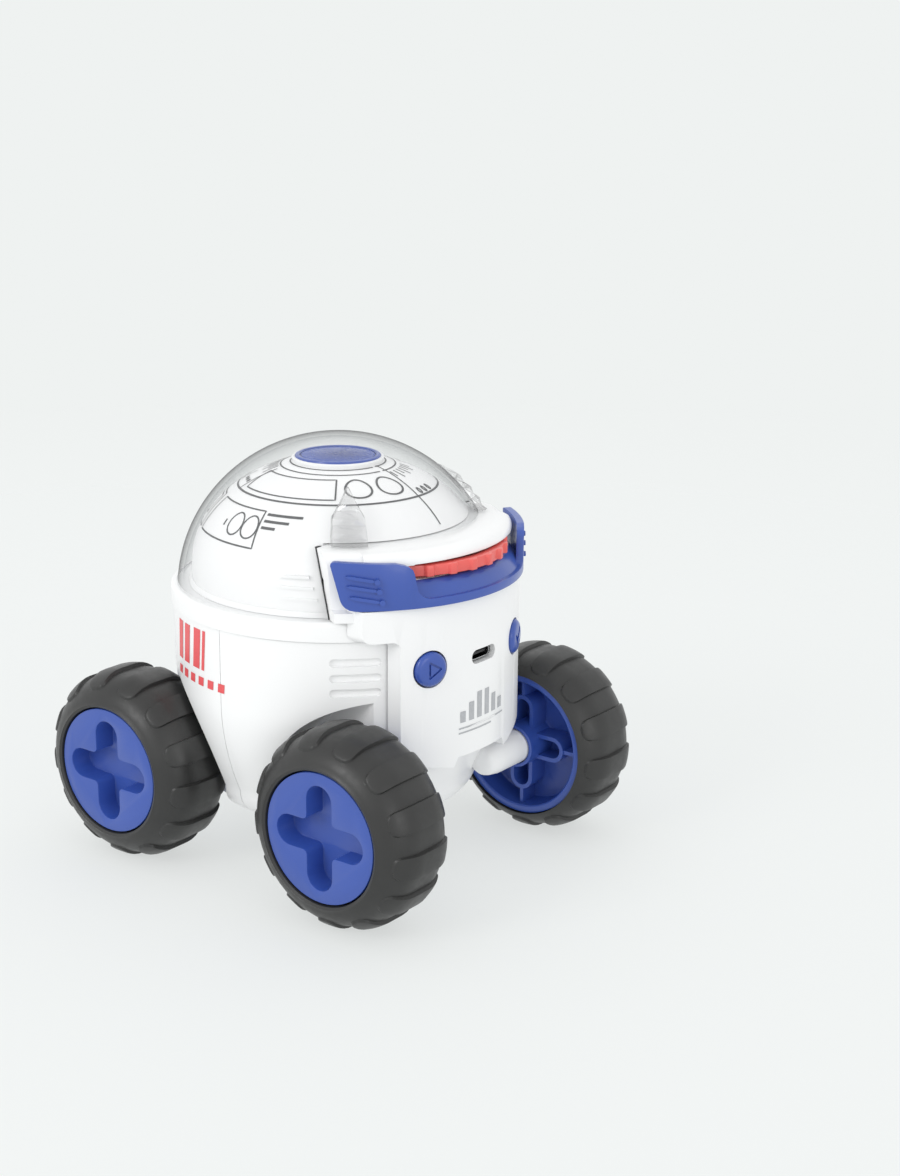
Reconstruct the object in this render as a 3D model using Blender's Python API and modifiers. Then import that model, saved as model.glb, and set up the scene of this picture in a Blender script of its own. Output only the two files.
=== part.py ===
"""A toy rover night light: a round body under a clear dome, a picture wheel, four ribbed wheels.

Metres, +Z up. The front faces -Y, the wheels stand on z = 0, and X is the plane of symmetry.
The round body's axis is vertical at (0, AXIS_Y); the two axles are level with WHEEL_R.
"""

from math import asin, cos, degrees, pi, radians, sin

import bmesh
import bpy
from mathutils import Euler, Matrix, Vector

# Driving sizes
AXIS_Y = 0.00135  # the body's axis; the wheelbase is centred on y = 0
BODY_R = 0.050
WALL = 0.002
GAP = 0.0003  # kept between two pieces that touch
VENT_FLOOR = 0.0488
BASE_Z = 0.018
BOWL_Z = 0.055  # the body is a cylinder above this and a bowl below
SEAM_Y = 0.0027  # front and rear shells meet here, measured from the body's axis
RING_Z = 0.0788
RING_TOP = 0.0846
RING_R = 0.0507

WHEEL_R = 0.02955
AXLE_Y = 0.04185
TYRE_OUT = 0.0613
TYRE_W = 0.0284
WHEEL_MID = TYRE_OUT - TYRE_W / 2
SHOULDER = 0.0108
LUG_H = 0.00105
LUGS = 13
RIM_IN = 0.0351
RIM_IN_R = 0.02264
FACE_OUT = 0.0603
FACE_R = 0.01917
ARM_R = 0.0054
ARM_END = 0.0360
HUB_R = 0.0068
HUB_PROUD = 0.0029  # how far the hub reaches towards the body past the rim
ARM_ROOT = 0.0136  # the arms' rounded inner ends, in the bowl's skin
AXLE_R = 0.0015
AXLE_START = 0.0165
AXLE_END = 0.0512
BORE_R = 0.0019
HUB_END = 0.0001  # from the wheel's middle plane
WELL_R = 0.0310
WELL_X = 0.0312

DOME_MID = 0.0808
DOME_R = 0.0488
DOME_H = 0.0476
DOME_WALL = 0.0016
CAP_MID = 0.090
CAP_R = 0.0442
CAP_H = 0.0318
CAP_WALL = 0.0014
LENS_R = 0.0129
LENS_IN = 0.0114

RIB_R = 0.0516
RIB_H = 0.0490
RIB_TURNS = (38, 53)  # azimuths of the ribs' edges, in degrees
RIB_TOP = 0.1185
NOTCH_FOOT = -0.0295  # the dome's cut, which the console fills: its edge leans back as it rises
NOTCH_LEAN = 0.362
CHEEK_POINT = (0.0387, -0.0293, 0.0849)  # on the sloping face that leads from the glass to the visor
CHEEK_NORMAL = (0.855, 0.5145, -0.067)
SHELF_IN = 0.0375
SHELF_LOW = 0.1004
SHELF_TOP = 0.1044
BIB_R = 0.0550
BIB_LOW = 0.0385
BIB_HIGH = 0.0887

WHEEL_DISC_R = 0.0332  # the picture wheel
WHEEL_DISC_Y = -0.0221
DISC_LOW = 0.0966
DISC_HIGH = 0.0998
KNURLS = 28
KNURL_H = 0.0010
KNURL_TURN = 4.4
WINDOWS = 6
WINDOW_R = 0.0070

VISOR_R = 0.0490
VISOR_Y = -0.0086
VISOR_LOW = 0.0890
VISOR_LIP = 0.0914
VISOR_TOP = 0.1030
VISOR_WALL = 0.0022
TRAY_TOP = 0.0958
WING_RIBS = (  # azimuths of the back and front ends, then their heights
    (55.2, 45.0, 0.0991, 0.0976),
    (54.9, 44.3, 0.0963, 0.0948),
    (54.0, 43.4, 0.0932, 0.0916),
)

BUTTON_X = 0.0204
BUTTON_Z = 0.0700
BUTTON_R = 0.0053
BUTTON_TURN = asin(BUTTON_X / BIB_R)
PORT_Z = 0.0703

HATCH_X = 0.0226
HATCH_LOW = 0.0392
HATCH_HIGH = 0.0757

FINE = 32  # sides of the large round pieces


def clear_scene():
    for obj in list(bpy.data.objects):
        bpy.data.objects.remove(obj, do_unlink=True)


def collection(name):
    group = bpy.data.collections.new(name)
    bpy.context.scene.collection.children.link(group)
    return group


clear_scene()
ROVER = collection("rover")
CUTTERS = collection("cutters")
CUTTERS.hide_render = True


def material(name, colour, roughness, metallic=0.0, alpha=1.0):
    made = bpy.data.materials.new(name)
    made.use_nodes = True
    shader = made.node_tree.nodes["Principled BSDF"]
    shader.inputs["Base Color"].default_value = (*colour, 1)
    shader.inputs["Roughness"].default_value = roughness
    shader.inputs["Metallic"].default_value = metallic
    shader.inputs["Alpha"].default_value = alpha
    made.diffuse_color = (*colour, alpha)
    return made


WHITE = material("white_plastic", (0.86, 0.87, 0.88), 0.35)
BLUE = material("blue_plastic", (0.07, 0.15, 0.58), 0.40)
CORAL = material("coral_plastic", (0.78, 0.10, 0.10), 0.38)
RUBBER = material("rubber", (0.045, 0.045, 0.043), 0.75)
CLEAR = material("clear_plastic", (0.95, 0.97, 0.98), 0.05, alpha=0.25)
STEEL = material("steel", (0.62, 0.63, 0.64), 0.30, metallic=1.0)
BOARD = material("circuit_board", (0.02, 0.20, 0.09), 0.50)
BLACK = material("black_plastic", (0.02, 0.02, 0.022), 0.45)
FOIL = material("battery_wrap", (0.28, 0.30, 0.34), 0.35)


# Helpers


def keep(obj, skin):
    """Makes an object a visible part in the rover's collection."""
    obj.data.materials.clear()
    obj.data.materials.append(skin)
    obj.data.shade_smooth()
    obj.data.set_sharp_from_angle(angle=radians(35))
    return obj


def hide(obj):
    """Makes an object a cutter."""
    for group in list(obj.users_collection):
        group.objects.unlink(obj)
    CUTTERS.objects.link(obj)
    obj.hide_render = True
    obj.display_type = "WIRE"
    return obj


def from_bmesh(name, bm):
    mesh = bpy.data.meshes.new(name)
    bm.to_mesh(mesh)
    bm.free()
    obj = bpy.data.objects.new(name, mesh)
    ROVER.objects.link(obj)
    return obj


def turned(name, outline, steps=FINE, closed=False, turn=None):
    """A profile of (radius, height) points, outer side top to bottom, turned about Z."""
    bm = bmesh.new()
    points = [bm.verts.new((r, 0, z)) for r, z in outline]
    for first, second in zip(points, points[1:]):
        bm.edges.new((first, second))
    if closed:
        bm.edges.new((points[-1], points[0]))
    obj = from_bmesh(name, bm)
    screw = obj.modifiers.new("turn", "SCREW")
    screw.axis = "Z"
    screw.steps = steps
    screw.render_steps = steps
    screw.use_merge_vertices = True
    screw.merge_threshold = 0.00001
    if turn:
        obj.rotation_euler = turn
    return obj


def box(name, low, high, bevel=0.0):
    bm = bmesh.new()
    bmesh.ops.create_cube(bm, size=1)
    size = Vector(high) - Vector(low)
    bmesh.ops.scale(bm, vec=size, verts=bm.verts)
    bmesh.ops.translate(bm, vec=(Vector(high) + Vector(low)) / 2, verts=bm.verts)
    obj = from_bmesh(name, bm)
    if bevel:
        rounding = obj.modifiers.new("rounding", "BEVEL")
        rounding.width = bevel
        rounding.segments = 2
    return obj


def rod(name, start, end, radius, sides=24):
    """A cylinder between two points."""
    start = Vector(start)
    along = Vector(end) - start
    bm = bmesh.new()
    bmesh.ops.create_cone(
        bm, cap_ends=True, segments=sides, radius1=radius, radius2=radius, depth=along.length
    )
    turn = Vector((0, 0, 1)).rotation_difference(along).to_matrix().to_4x4()
    bmesh.ops.transform(bm, matrix=Matrix.Translation(start + along / 2) @ turn, verts=bm.verts)
    return from_bmesh(name, bm)


def plate(name, outline, low, high, turn=(0, 0, 0)):
    """A flat outline in XY, thick from low to high along Z, then turned."""
    curve = bpy.data.curves.new(name + "_outline", "CURVE")
    curve.dimensions = "2D"
    curve.fill_mode = "BOTH"
    curve.extrude = (high - low) / 2
    spline = curve.splines.new("POLY")
    spline.points.add(len(outline) - 1)
    for point, (x, y) in zip(spline.points, outline):
        point.co = (x, y, 0, 1)
    spline.use_cyclic_u = True
    guide = bpy.data.objects.new(name + "_outline", curve)
    ROVER.objects.link(guide)
    graph = bpy.context.evaluated_depsgraph_get()
    mesh = bpy.data.meshes.new_from_object(guide.evaluated_get(graph))
    bpy.data.objects.remove(guide, do_unlink=True)
    bm = bmesh.new()
    bm.from_mesh(mesh)
    bmesh.ops.remove_doubles(bm, verts=bm.verts, dist=0.00001)
    bmesh.ops.translate(bm, vec=(0, 0, (low + high) / 2), verts=bm.verts)
    bmesh.ops.recalc_face_normals(bm, faces=bm.faces)
    bmesh.ops.transform(bm, matrix=Euler(turn).to_matrix().to_4x4(), verts=bm.verts)
    bpy.data.meshes.remove(mesh)
    return from_bmesh(name, bm)


def cut(obj, *cutters):
    for cutter in cutters:
        step = obj.modifiers.new("cut", "BOOLEAN")
        step.operation = "DIFFERENCE"
        step.object = hide(cutter)
    return obj


def join(obj, *others):
    for other in others:
        step = obj.modifiers.new("join", "BOOLEAN")
        step.operation = "UNION"
        step.object = hide(other)
    return obj


def common(obj, other):
    step = obj.modifiers.new("common", "BOOLEAN")
    step.operation = "INTERSECT"
    step.object = hide(other)
    return obj


def around(azimuth, radius):
    """A point in plan: azimuth 0 faces the front and grows towards +X."""
    turn = radians(azimuth)
    return radius * sin(turn), -radius * cos(turn)


def arc(middle, radius, start, end, count):
    """Plan points on an arc, angles in degrees from +X."""
    steps = [radians(start + (end - start) * i / (count - 1)) for i in range(count)]
    return [(middle[0] + radius * cos(t), middle[1] + radius * sin(t)) for t in steps]


def pill(length, width, count=6):
    """A slot's outline along X."""
    half = (length - width) / 2
    return arc((half, 0), width / 2, -90, 90, count) + arc((-half, 0), width / 2, 90, 270, count)


def rounded(width, height, radius, count=4):
    """A rectangle with round corners, centred on the origin."""
    x, y = width / 2 - radius, height / 2 - radius
    corners = ((x, y, 0), (-x, y, 90), (-x, -y, 180), (x, -y, 270))
    return [p for cx, cy, t in corners for p in arc((cx, cy), radius, t, t + 90, count)]


def sector(name, azimuth, low, high, reach=0.09):
    """A wedge in front of the body's axis, azimuth degrees to each side."""
    rim = [around(-azimuth + 2 * azimuth * i / 12, reach) for i in range(13)]
    return plate(name, [(0, 0)] + rim, low, high)


FACING = (pi / 2, 0, 0)  # turns an XY outline to stand in XZ, with its thickness towards -Y
SIDEWAYS = (pi / 2, 0, pi / 2)  # turns an XY outline to stand in YZ, with its thickness along X


def facing(name, outline, near, far, height=0.0):
    """An outline in XZ, raised by height, that reaches from y = -near to y = -far."""
    raised = [(x, z + height) for x, z in outline]
    return plate(name, raised, near, far, turn=FACING)


def mirrored(points):
    """An outline's right half, from top middle to bottom middle, made whole."""
    return points + [(-x, z) for x, z in reversed(points) if abs(x) > 0.00001]


def wrapped(name, outline, inner, outer, step=8):
    """An outline of (azimuth in degrees, height) bent round Z, between two radii."""
    flat = plate(name, [(turn / 1000, z) for turn, z in outline], inner, outer)
    bm = bmesh.new()
    bm.from_mesh(flat.data)
    for turn in range(-88, 89, step):
        everything = list(bm.verts) + list(bm.edges) + list(bm.faces)
        bmesh.ops.bisect_plane(bm, geom=everything, plane_co=(turn / 1000, 0, 0), plane_no=(1, 0, 0))
    for vert in bm.verts:
        x, y = around(1000 * vert.co.x, vert.co.z)
        vert.co = (x, y, vert.co.y)
    bmesh.ops.recalc_face_normals(bm, faces=bm.faces)
    bm.to_mesh(flat.data)
    bm.free()
    return flat


# The body


def bowl_radius(z):
    """The body's outer radius: straight above BOWL_Z, then drawing in towards the base."""
    drop = max(0.0, BOWL_Z - z) / 0.0637
    return BODY_R * (1 - drop**1.75) ** (1 / 1.75)


def body_outline(inset, top):
    """The body's solid form, inset from its outer skin."""
    low = BASE_Z + inset
    edge = 0.009 - inset
    heights = [BOWL_Z, 0.044, 0.034]
    outline = [(0, top), (BODY_R - inset, top)]
    outline += [(bowl_radius(z) - inset, z) for z in heights]
    for turn in (0, 30, 60, 90):
        z = low + edge * (1 - sin(radians(turn)))
        outline.append((bowl_radius(BASE_Z + 0.009) - inset - edge * (1 - cos(radians(turn))), z))
    return outline + [(0, low)]


def wells(name, radius, inner_x):
    """Four drums where the wheels sit."""
    drums = []
    for y in (-AXLE_Y, AXLE_Y):
        for side in (-1, 1):
            start = (side * inner_x, y - AXIS_Y, WHEEL_R)
            end = (side * 0.08, y - AXIS_Y, WHEEL_R)
            drums.append(rod(name, start, end, radius, 32))
    return drums


def arm(name, y, side):
    """The arm that carries an axle: a rod whose round inner end sits in the bowl's skin."""
    outline = [(0, ARM_END), (ARM_R, ARM_END), (ARM_R, 0.0200), (0.0048, 0.0168), (0.0032, 0.0144)]
    made = turned(name, outline + [(0, ARM_ROOT)], 20, turn=(0, side * pi / 2, 0))
    made.location = (0, y - AXIS_Y, WHEEL_R)
    return made


def shell(name, axle_y, side):
    """Half of the body, side -1 in front and +1 behind, with its axle arms and wheel wells."""
    made = turned(name, body_outline(0, RING_Z - GAP))
    cut(made, *wells(name + "_well", WELL_R, WELL_X))
    hollow = turned(name + "_hollow", body_outline(WALL, RING_Z + 0.004))
    cut(hollow, *wells(name + "_well_wall", WELL_R + WALL, WELL_X - WALL))
    cut(made, hollow)
    y = axle_y - AXIS_Y
    for hand in (-1, 1):
        join(made, arm(name + "_arm", axle_y, hand))
        start = (hand * (AXLE_START - GAP), y, WHEEL_R)
        cut(made, rod(name + "_bore", start, (hand * 0.05, y, WHEEL_R), BORE_R, 10))
    cut(made, rod(name + "_base_hole", (0, 0, 0), (0, 0, 0.0225), 0.0262, FINE))
    far = SEAM_Y - side * 0.08
    near = SEAM_Y + side * 0.0001
    other = sorted((near, far))
    cut(made, box(name + "_other_half", (-0.08, other[0], 0), (0.08, other[1], 0.12)))
    return made


def vents(name, azimuth, heights, length, width):
    """Pill-shaped recesses in the wall, square to it at azimuth."""
    slots = []
    for z in heights:
        slot = plate(name, pill(length, width, 4), VENT_FLOOR, 0.056, turn=FACING)
        slot.rotation_euler = (0, 0, radians(azimuth))
        slot.location = (0, 0, z)
        slots.append(slot)
    return slots


def front_shell():
    made = shell("front_shell", -AXLE_Y, -1)
    for azimuth in (-44.6, 44.6):
        cut(made, *vents("front_vent", azimuth, (0.0725, 0.0679, 0.0635), 0.0148, 0.0025))
    for turn in (-BUTTON_TURN, BUTTON_TURN):
        x, y = sin(turn), -cos(turn)
        inner = (0.040 * x, 0.040 * y, BUTTON_Z)
        outer = (0.060 * x, 0.060 * y, BUTTON_Z)
        cut(made, rod("button_way", inner, outer, 0.0036, 24))
    cut(made, port_way("front_port_way"))
    return keep(made, WHITE)


def port_way(name):
    """The hole that the charging socket passes through."""
    return facing(name, rounded(0.0112, 0.0042, 0.0020), 0.040, 0.060, PORT_Z)


def hatch_outline(grow):
    return rounded(2 * (HATCH_X + grow), HATCH_HIGH - HATCH_LOW + 2 * grow, 0.0022 + grow)


def hatch_form(name, grow, near, far):
    """The hatch's outline, standing in XZ behind the body's axis."""
    return facing(name, hatch_outline(grow), near, far, (HATCH_LOW + HATCH_HIGH) / 2)


def rear_shell():
    made = shell("rear_shell", AXLE_Y, 1)
    cut(made, hatch_form("hatch_way", GAP, -0.060, -0.030))
    for azimuth in (-143.5, 143.5):
        cut(made, *vents("rear_vent", azimuth, (0.0717, 0.0670, 0.0624), 0.0120, 0.0025))
    return keep(made, WHITE)


def rear_hatch():
    """A curved cover flush with the body, with sound holes, a finger lip and two guide tabs."""
    inner = BODY_R - WALL
    outline = [(BODY_R, 0.079), (BODY_R, 0.036), (inner, 0.036), (inner, 0.079)]
    made = turned("rear_hatch", outline, closed=True)
    common(made, hatch_form("hatch_panel", 0, -0.060, -0.030))
    lip = box("hatch_lip", (-0.0123, 0.0462, 0.0446), (0.0123, 0.0512, 0.0462), 0.0004)
    join(made, lip)
    for side in (-1, 1):
        tab = box("hatch_tab", (side * 0.0105 - 0.0012, 0.0405, 0.0500),
                  (side * 0.0105 + 0.0012, 0.0492, 0.0560))
        join(made, tab)
    for x in (-0.0124, 0, 0.0124):
        cut(made, rod("sound_hole", (x, 0.040, 0.0697), (x, 0.055, 0.0697), 0.0015, 16))
    return keep(made, WHITE)


def top_ring():
    """The collar that holds the dome, with a round upper edge and a ledge inside it."""
    outline = [(RING_R, RING_Z), (0.0470, RING_Z), (0.0470, 0.0822), (0.0450, 0.0822)]
    outline += [(0.0450, RING_TOP - 0.0004), (0.0489, RING_TOP - 0.0004), (0.0489, RING_TOP)]
    edge = 0.0014
    outline += [(RING_R - edge, RING_TOP), (RING_R - 0.3 * edge, RING_TOP - 0.3 * edge)]
    outline += [(RING_R, RING_TOP - edge)]
    made = turned("top_ring", outline, closed=True)
    return keep(made, WHITE)


def base_cover():
    outline = [(0, 0.0202), (0.0258, 0.0202), (0.0258, 0.0184), (0.0252, BASE_Z), (0, BASE_Z)]
    made = turned("base_cover", outline, 28)
    for i in range(4):
        x, y = around(45 + 90 * i, 0.020)
        cut(made, rod("screw_seat", (x, y, 0.0100), (x, y, 0.0300), 0.0015, 7))
        cut(made, rod("screw_head_seat", (x, y, 0.0100), (x, y, 0.0192), 0.0026, 9))
    return keep(made, WHITE)


def base_screw(number):
    x, y = around(45 + 90 * number, 0.020)
    made = turned(
        f"base_screw_{number + 1}",
        [(0, 0.0245), (0.0011, 0.0238), (0.0011, 0.0189), (0.0021, 0.0189), (0.0021, 0.0183),
         (0.0017, 0.0181), (0, 0.0181)],
        8,
    )
    made.location = (x, y, 0)
    return keep(made, STEEL)


# The console: bib, shoulders and shelf in one white moulding


def bib_outline():
    """The bib's front view: wide under the visor, narrow below, with a step at its foot."""
    wide = BIB_R * sin(radians(43))
    narrow = BIB_R * sin(radians(31.5))
    foot = 0.0108
    right = [(wide, BIB_HIGH), (wide, 0.0815)]
    right += arc((wide - 0.0022, 0.0815), 0.0022, 0, -90, 4)[1:]
    right += arc((narrow + 0.0022, 0.0771), 0.0022, 90, 180, 4)
    right += [(narrow, 0.0445)]
    right += arc((narrow - 0.0025, 0.0440), 0.0025, 0, -60, 3)[1:]
    right += [(foot + 0.0015, BIB_LOW), (foot, BIB_LOW + 0.0028)]
    return mirrored(right)


def notch(name, back, low, top):
    """Everything in front of the dome's leaning cut, moved back by back."""
    foot = NOTCH_FOOT + back + NOTCH_LEAN * (low - RING_TOP)
    head = NOTCH_FOOT + back + NOTCH_LEAN * (top - RING_TOP)
    return plate(name, [(-0.09, low), (foot, low), (head, top), (-0.09, top)], -0.06, 0.06, SIDEWAYS)


def cheek_cut(name, side):
    """Takes away what would stand proud of the glass beside the dome's cut."""
    made = box(name, (-0.05, -0.05, 0), (0.05, 0.05, 0.03))
    out = Vector((side * CHEEK_NORMAL[0], CHEEK_NORMAL[1], CHEEK_NORMAL[2]))
    made.rotation_euler = Vector((0, 0, 1)).rotation_difference(out).to_euler()
    made.location = (side * CHEEK_POINT[0], CHEEK_POINT[1], CHEEK_POINT[2])
    return made


def front_console():
    """Shoulders that fill the dome's notch, a bib down the front and a shelf over the picture wheel."""
    top = [(SHELF_IN, SHELF_TOP), (0.0468, 0.1038), (0.0496, 0.1026), (0.0507, SHELF_LOW + 0.0006)]
    side = [(0.0508, SHELF_LOW - 0.001), (0.0508, BIB_HIGH - 0.0002), (0.0528, BIB_HIGH - 0.0008)]
    under = [(0.0528, 0.0851), (0.0462, 0.0851), (0.0462, 0.0960), (SHELF_IN, SHELF_LOW)]
    made = turned("front_console", top + side + under, closed=True)
    common(made, notch("console_notch", -GAP, 0.080, 0.110))
    skin = [(BIB_R, 0.095), (BIB_R, 0.030), (0.0511, 0.030), (0.0511, 0.095)]
    bib = turned("bib", skin, 44, closed=True)
    common(bib, facing("bib_outline", bib_outline(), 0.020, 0.070))
    brim = [(0.0440, 0.1035), (0.0490, 0.1037), (0.0512, 0.1030), (0.0523, 0.1016)]
    brim += [(0.0523, SHELF_LOW), (0.0440, SHELF_LOW)]
    shelf = turned("shelf", brim, 44, closed=True)
    common(shelf, sector("shelf_sector", 42, 0.090, 0.110))
    join(made, bib, shelf)
    cut(made, cheek_cut("left_cheek", -1), cheek_cut("right_cheek", 1))
    drum = rod("console_disc_way", (0, WHEEL_DISC_Y, DISC_LOW - 0.0008),
               (0, WHEEL_DISC_Y, SHELF_LOW + 0.0002), WHEEL_DISC_R + 0.0006, 64)
    cut(made, drum)
    for turn in (-BUTTON_TURN, BUTTON_TURN):
        x, y = sin(turn), -cos(turn)
        inner = (0.030 * x, 0.030 * y, BUTTON_Z)
        outer = (0.060 * x, 0.060 * y, BUTTON_Z)
        cut(made, rod("button_seat", inner, outer, BUTTON_R + GAP, 32))
    cut(made, port_way("console_port_way"))
    return keep(made, WHITE)


def visor_turn(x):
    """The azimuth about the visor's own axis of a point x from the middle."""
    return degrees(asin(x / VISOR_R))


def visor_outline():
    """The visor unrolled, as (azimuth, height): two wings joined by a low lip."""
    bend = arc((0.0215, VISOR_LIP + 0.0042), 0.0042, -90, -20, 4)
    bend += [(0.0267, 0.1002), (0.0284, 0.1014), (0.0305, 0.1023)]
    right = [(0, VISOR_LIP)] + [(visor_turn(x), z) for x, z in bend]
    right += [(59.2, VISOR_TOP), (60.2, VISOR_TOP - 0.0008), (56.6, 0.0915), (55.6, 0.0902)]
    right += [(53.6, 0.0893), (50, VISOR_LOW), (0, VISOR_LOW)]
    return mirrored(right)


def wing_ribs():
    """Three slanting ribs on each wing."""
    ribs = []
    for side in (-1, 1):
        for back, front, high, low in WING_RIBS:
            half = 0.00045
            outline = [(back, high + half), (back + 0.7, high), (back, high - half)]
            outline += [(front, low - half), (front - 0.7, low), (front, low + half)]
            outline = [(side * turn, z) for turn, z in outline]
            ribs.append(wrapped("wing_rib", outline, VISOR_R - 0.0012, VISOR_R + 0.0007))
    return ribs


def visor():
    made = wrapped("visor", visor_outline(), VISOR_R - VISOR_WALL, VISOR_R)
    out = VISOR_R - 0.0010
    tray = turned(
        "visor_tray",
        [(out, VISOR_LIP - 0.0006), (out, VISOR_LOW + 0.0001), (0.0400, VISOR_LOW + 0.0001),
         (0.0400, TRAY_TOP), (0.0440, TRAY_TOP), (0.0455, TRAY_TOP - 0.0013)],
        44,
        closed=True,
    )
    room = rod("console_room", (0, -VISOR_Y, 0.05), (0, -VISOR_Y, 0.12), 0.0514, 96)
    cut(tray, room)
    reach = plate("tray_reach", [(0, -VISOR_Y)] + [around(t, 0.09) for t in range(-48, 49, 8)], 0.080, 0.110)
    common(tray, reach)
    ribs = wing_ribs()
    join(made, tray, *ribs)
    for obj in (made, tray, room, reach, *ribs):
        obj.location.y = VISOR_Y
    return keep(made, BLUE)


# The domes and the projector


def dome_curve(radius, height, middle, low, count):
    """Points down an ellipse's side, from its top to the height low."""
    end = asin((low - middle) / height) if low > middle else 0.0
    turns = [pi / 2 + (end - pi / 2) * i / (count - 1) for i in range(1, count)]
    side = [(radius * cos(t), middle + height * sin(t)) for t in turns]
    return [(0, middle + height)] + side + ([] if low > middle else [(radius, low)])


def dome_shell(name, radius, height, middle, wall, low, count):
    """A domed cap with an open underside."""
    outer = dome_curve(radius, height, middle, low, count)
    inner = dome_curve(radius - wall, height - wall, middle, low, count)
    return turned(name, outer + list(reversed(inner)), FINE)


def dome_rib(name, side):
    """A raised rib of the clear dome, standing on the console beside the dome's cut."""
    low = SHELF_TOP + GAP
    outer = dome_curve(RIB_R, RIB_H, DOME_MID, low, 9)
    inner = dome_curve(DOME_R - 0.0008, DOME_H - 0.0008, DOME_MID, low, 9)
    made = turned(name, outer + list(reversed(inner)), FINE)
    start, end = (side * turn for turn in RIB_TURNS)
    wedge = plate(name + "_wedge", [(0, 0), around(start, 0.09), around(end, 0.09)], 0.100, RIB_TOP)
    return common(made, wedge)


def clear_dome():
    low = RING_TOP + GAP
    made = dome_shell("clear_dome", DOME_R, DOME_H, DOME_MID, DOME_WALL, low, 9)
    cut(made, notch("dome_notch", 0, low - 0.001, SHELF_TOP + GAP))
    join(made, dome_rib("left_dome_rib", -1), dome_rib("right_dome_rib", 1))
    return keep(made, CLEAR)


def inner_dome():
    low = RING_TOP + GAP
    made = dome_shell("inner_dome", CAP_R, CAP_H, CAP_MID, CAP_WALL, low, 8)
    cut(made, notch("inner_notch", 0.0004, low - 0.001, SHELF_TOP + 2 * GAP))
    pocket = rod("disc_pocket", (0, WHEEL_DISC_Y, DISC_LOW - 0.0006),
                 (0, WHEEL_DISC_Y, DISC_HIGH + 0.0006), WHEEL_DISC_R + GAP, 64)
    cut(made, pocket)
    cut(made, rod("lens_hole", (0, 0, 0.110), (0, 0, 0.130), 0.0098, 32))
    return keep(made, WHITE)


def lens_ring():
    """The blue bezel on the inner dome, with a shelf for the lens."""
    top = CAP_MID + CAP_H + 0.0005
    shelf = top - 0.0007
    foot = CAP_MID + CAP_H - 0.0007
    made = turned(
        "lens_ring",
        [(LENS_IN, top - 0.0001), (LENS_R - 0.0006, top), (LENS_R, top - 0.0005), (LENS_R, foot - 0.0006),
         (0.0106, foot), (0.0092, foot), (0.0092, shelf), (LENS_IN, shelf)],
        24,
        closed=True,
    )
    return keep(made, BLUE)


def lens_tube():
    """The barrel under the dome's lens, standing over the picture wheel."""
    made = turned("lens_tube", [(0.0094, 0.1203), (0.0094, 0.1030), (0.0080, 0.1030), (0.0080, 0.1203)],
                  28, closed=True)
    join(made, box("tube_foot", (-0.0345, 0.0060, 0.1030), (0.0345, 0.0115, 0.1046)))
    cut(made, rod("tube_bore", (0, 0, 0.10), (0, 0, 0.13), 0.0080, 28))
    return keep(made, BLACK)


def projection_lens():
    """The lens: a wide face on the bezel's shelf and a plug down into the tube's mouth."""
    face = CAP_MID + CAP_H + 0.0001
    rim = LENS_IN - GAP - 0.0001
    outline = [(0, face + 0.0006), (0.0060, face + 0.0005), (rim, face + 0.0002), (rim, face),
               (0.0088, face), (0.0088, face - 0.0011), (0, face - 0.0013)]
    return keep(turned("projection_lens", outline, 24), CLEAR)


def deck_plate():
    """The level plate under the domes; the picture wheel's pin stands on it."""
    made = rod("deck_plate", (0, 0, 0.0825), (0, 0, 0.0841), 0.0446, FINE)
    cut(made, rod("light_hole", (0, 0, 0.08), (0, 0, 0.09), 0.0062, 24))
    post = rod("disc_post", (0, WHEEL_DISC_Y, 0.0835), (0, WHEEL_DISC_Y, DISC_LOW - GAP), 0.0040, 20)
    join(made, post)
    cut(made, rod("pin_hole", (0, WHEEL_DISC_Y, 0.0860), (0, WHEEL_DISC_Y, 0.11), 0.0015, 16))
    for side in (-1, 1):
        stand = box("tube_stand", (side * 0.0328 - 0.0015, 0.0072, 0.0835),
                    (side * 0.0328 + 0.0015, 0.0102, 0.1027))
        join(made, stand)
    return keep(made, WHITE)


def disc_pin():
    y = WHEEL_DISC_Y
    outline = [(0, 0.1012), (0.0026, 0.1012), (0.0026, DISC_HIGH + GAP), (0.0012, DISC_HIGH + GAP),
               (0.0012, 0.0863), (0, 0.0863)]
    made = turned("disc_pin", outline, 16)
    made.location = (0, y, 0)
    return keep(made, STEEL)


def picture_wheel():
    """The knurled thumb wheel, with a window for each picture, and the film laid on it."""
    axis = bpy.data.objects.new("picture_axis", None)
    axis.location = (0, WHEEL_DISC_Y, 0)
    ROVER.objects.link(axis)
    outline = []
    pitch = 360 / KNURLS
    for i in range(KNURLS):
        middle = i * pitch - 90 + KNURL_TURN
        outline += arc((0, 0), WHEEL_DISC_R, middle - 0.13 * pitch, middle + 0.13 * pitch, 2)
        outline += arc((0, 0), WHEEL_DISC_R - KNURL_H, middle + 0.22 * pitch, middle + 0.78 * pitch, 3)
    wheel = plate("picture_wheel", outline, DISC_LOW, DISC_HIGH)
    holes = [rod("hub_hole", (0, 0, 0.09), (0, 0, 0.11), 0.0017, 16)]
    for i in range(WINDOWS):
        x, y = around(360 * i / WINDOWS, -WHEEL_DISC_Y)
        holes.append(rod("window", (x, y, 0.09), (x, y, 0.11), WINDOW_R, 12))
    cut(wheel, *holes)
    low = DISC_HIGH + GAP
    sheet = [(0.0300, low + 0.0004), (0.0300, low), (0.0040, low), (0.0040, low + 0.0004)]
    film = turned("picture_film", sheet, 32, closed=True)
    for obj in (wheel, film, *holes):
        obj.parent = axis
    keep(wheel, CORAL)
    keep(film, CLEAR)


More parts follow.
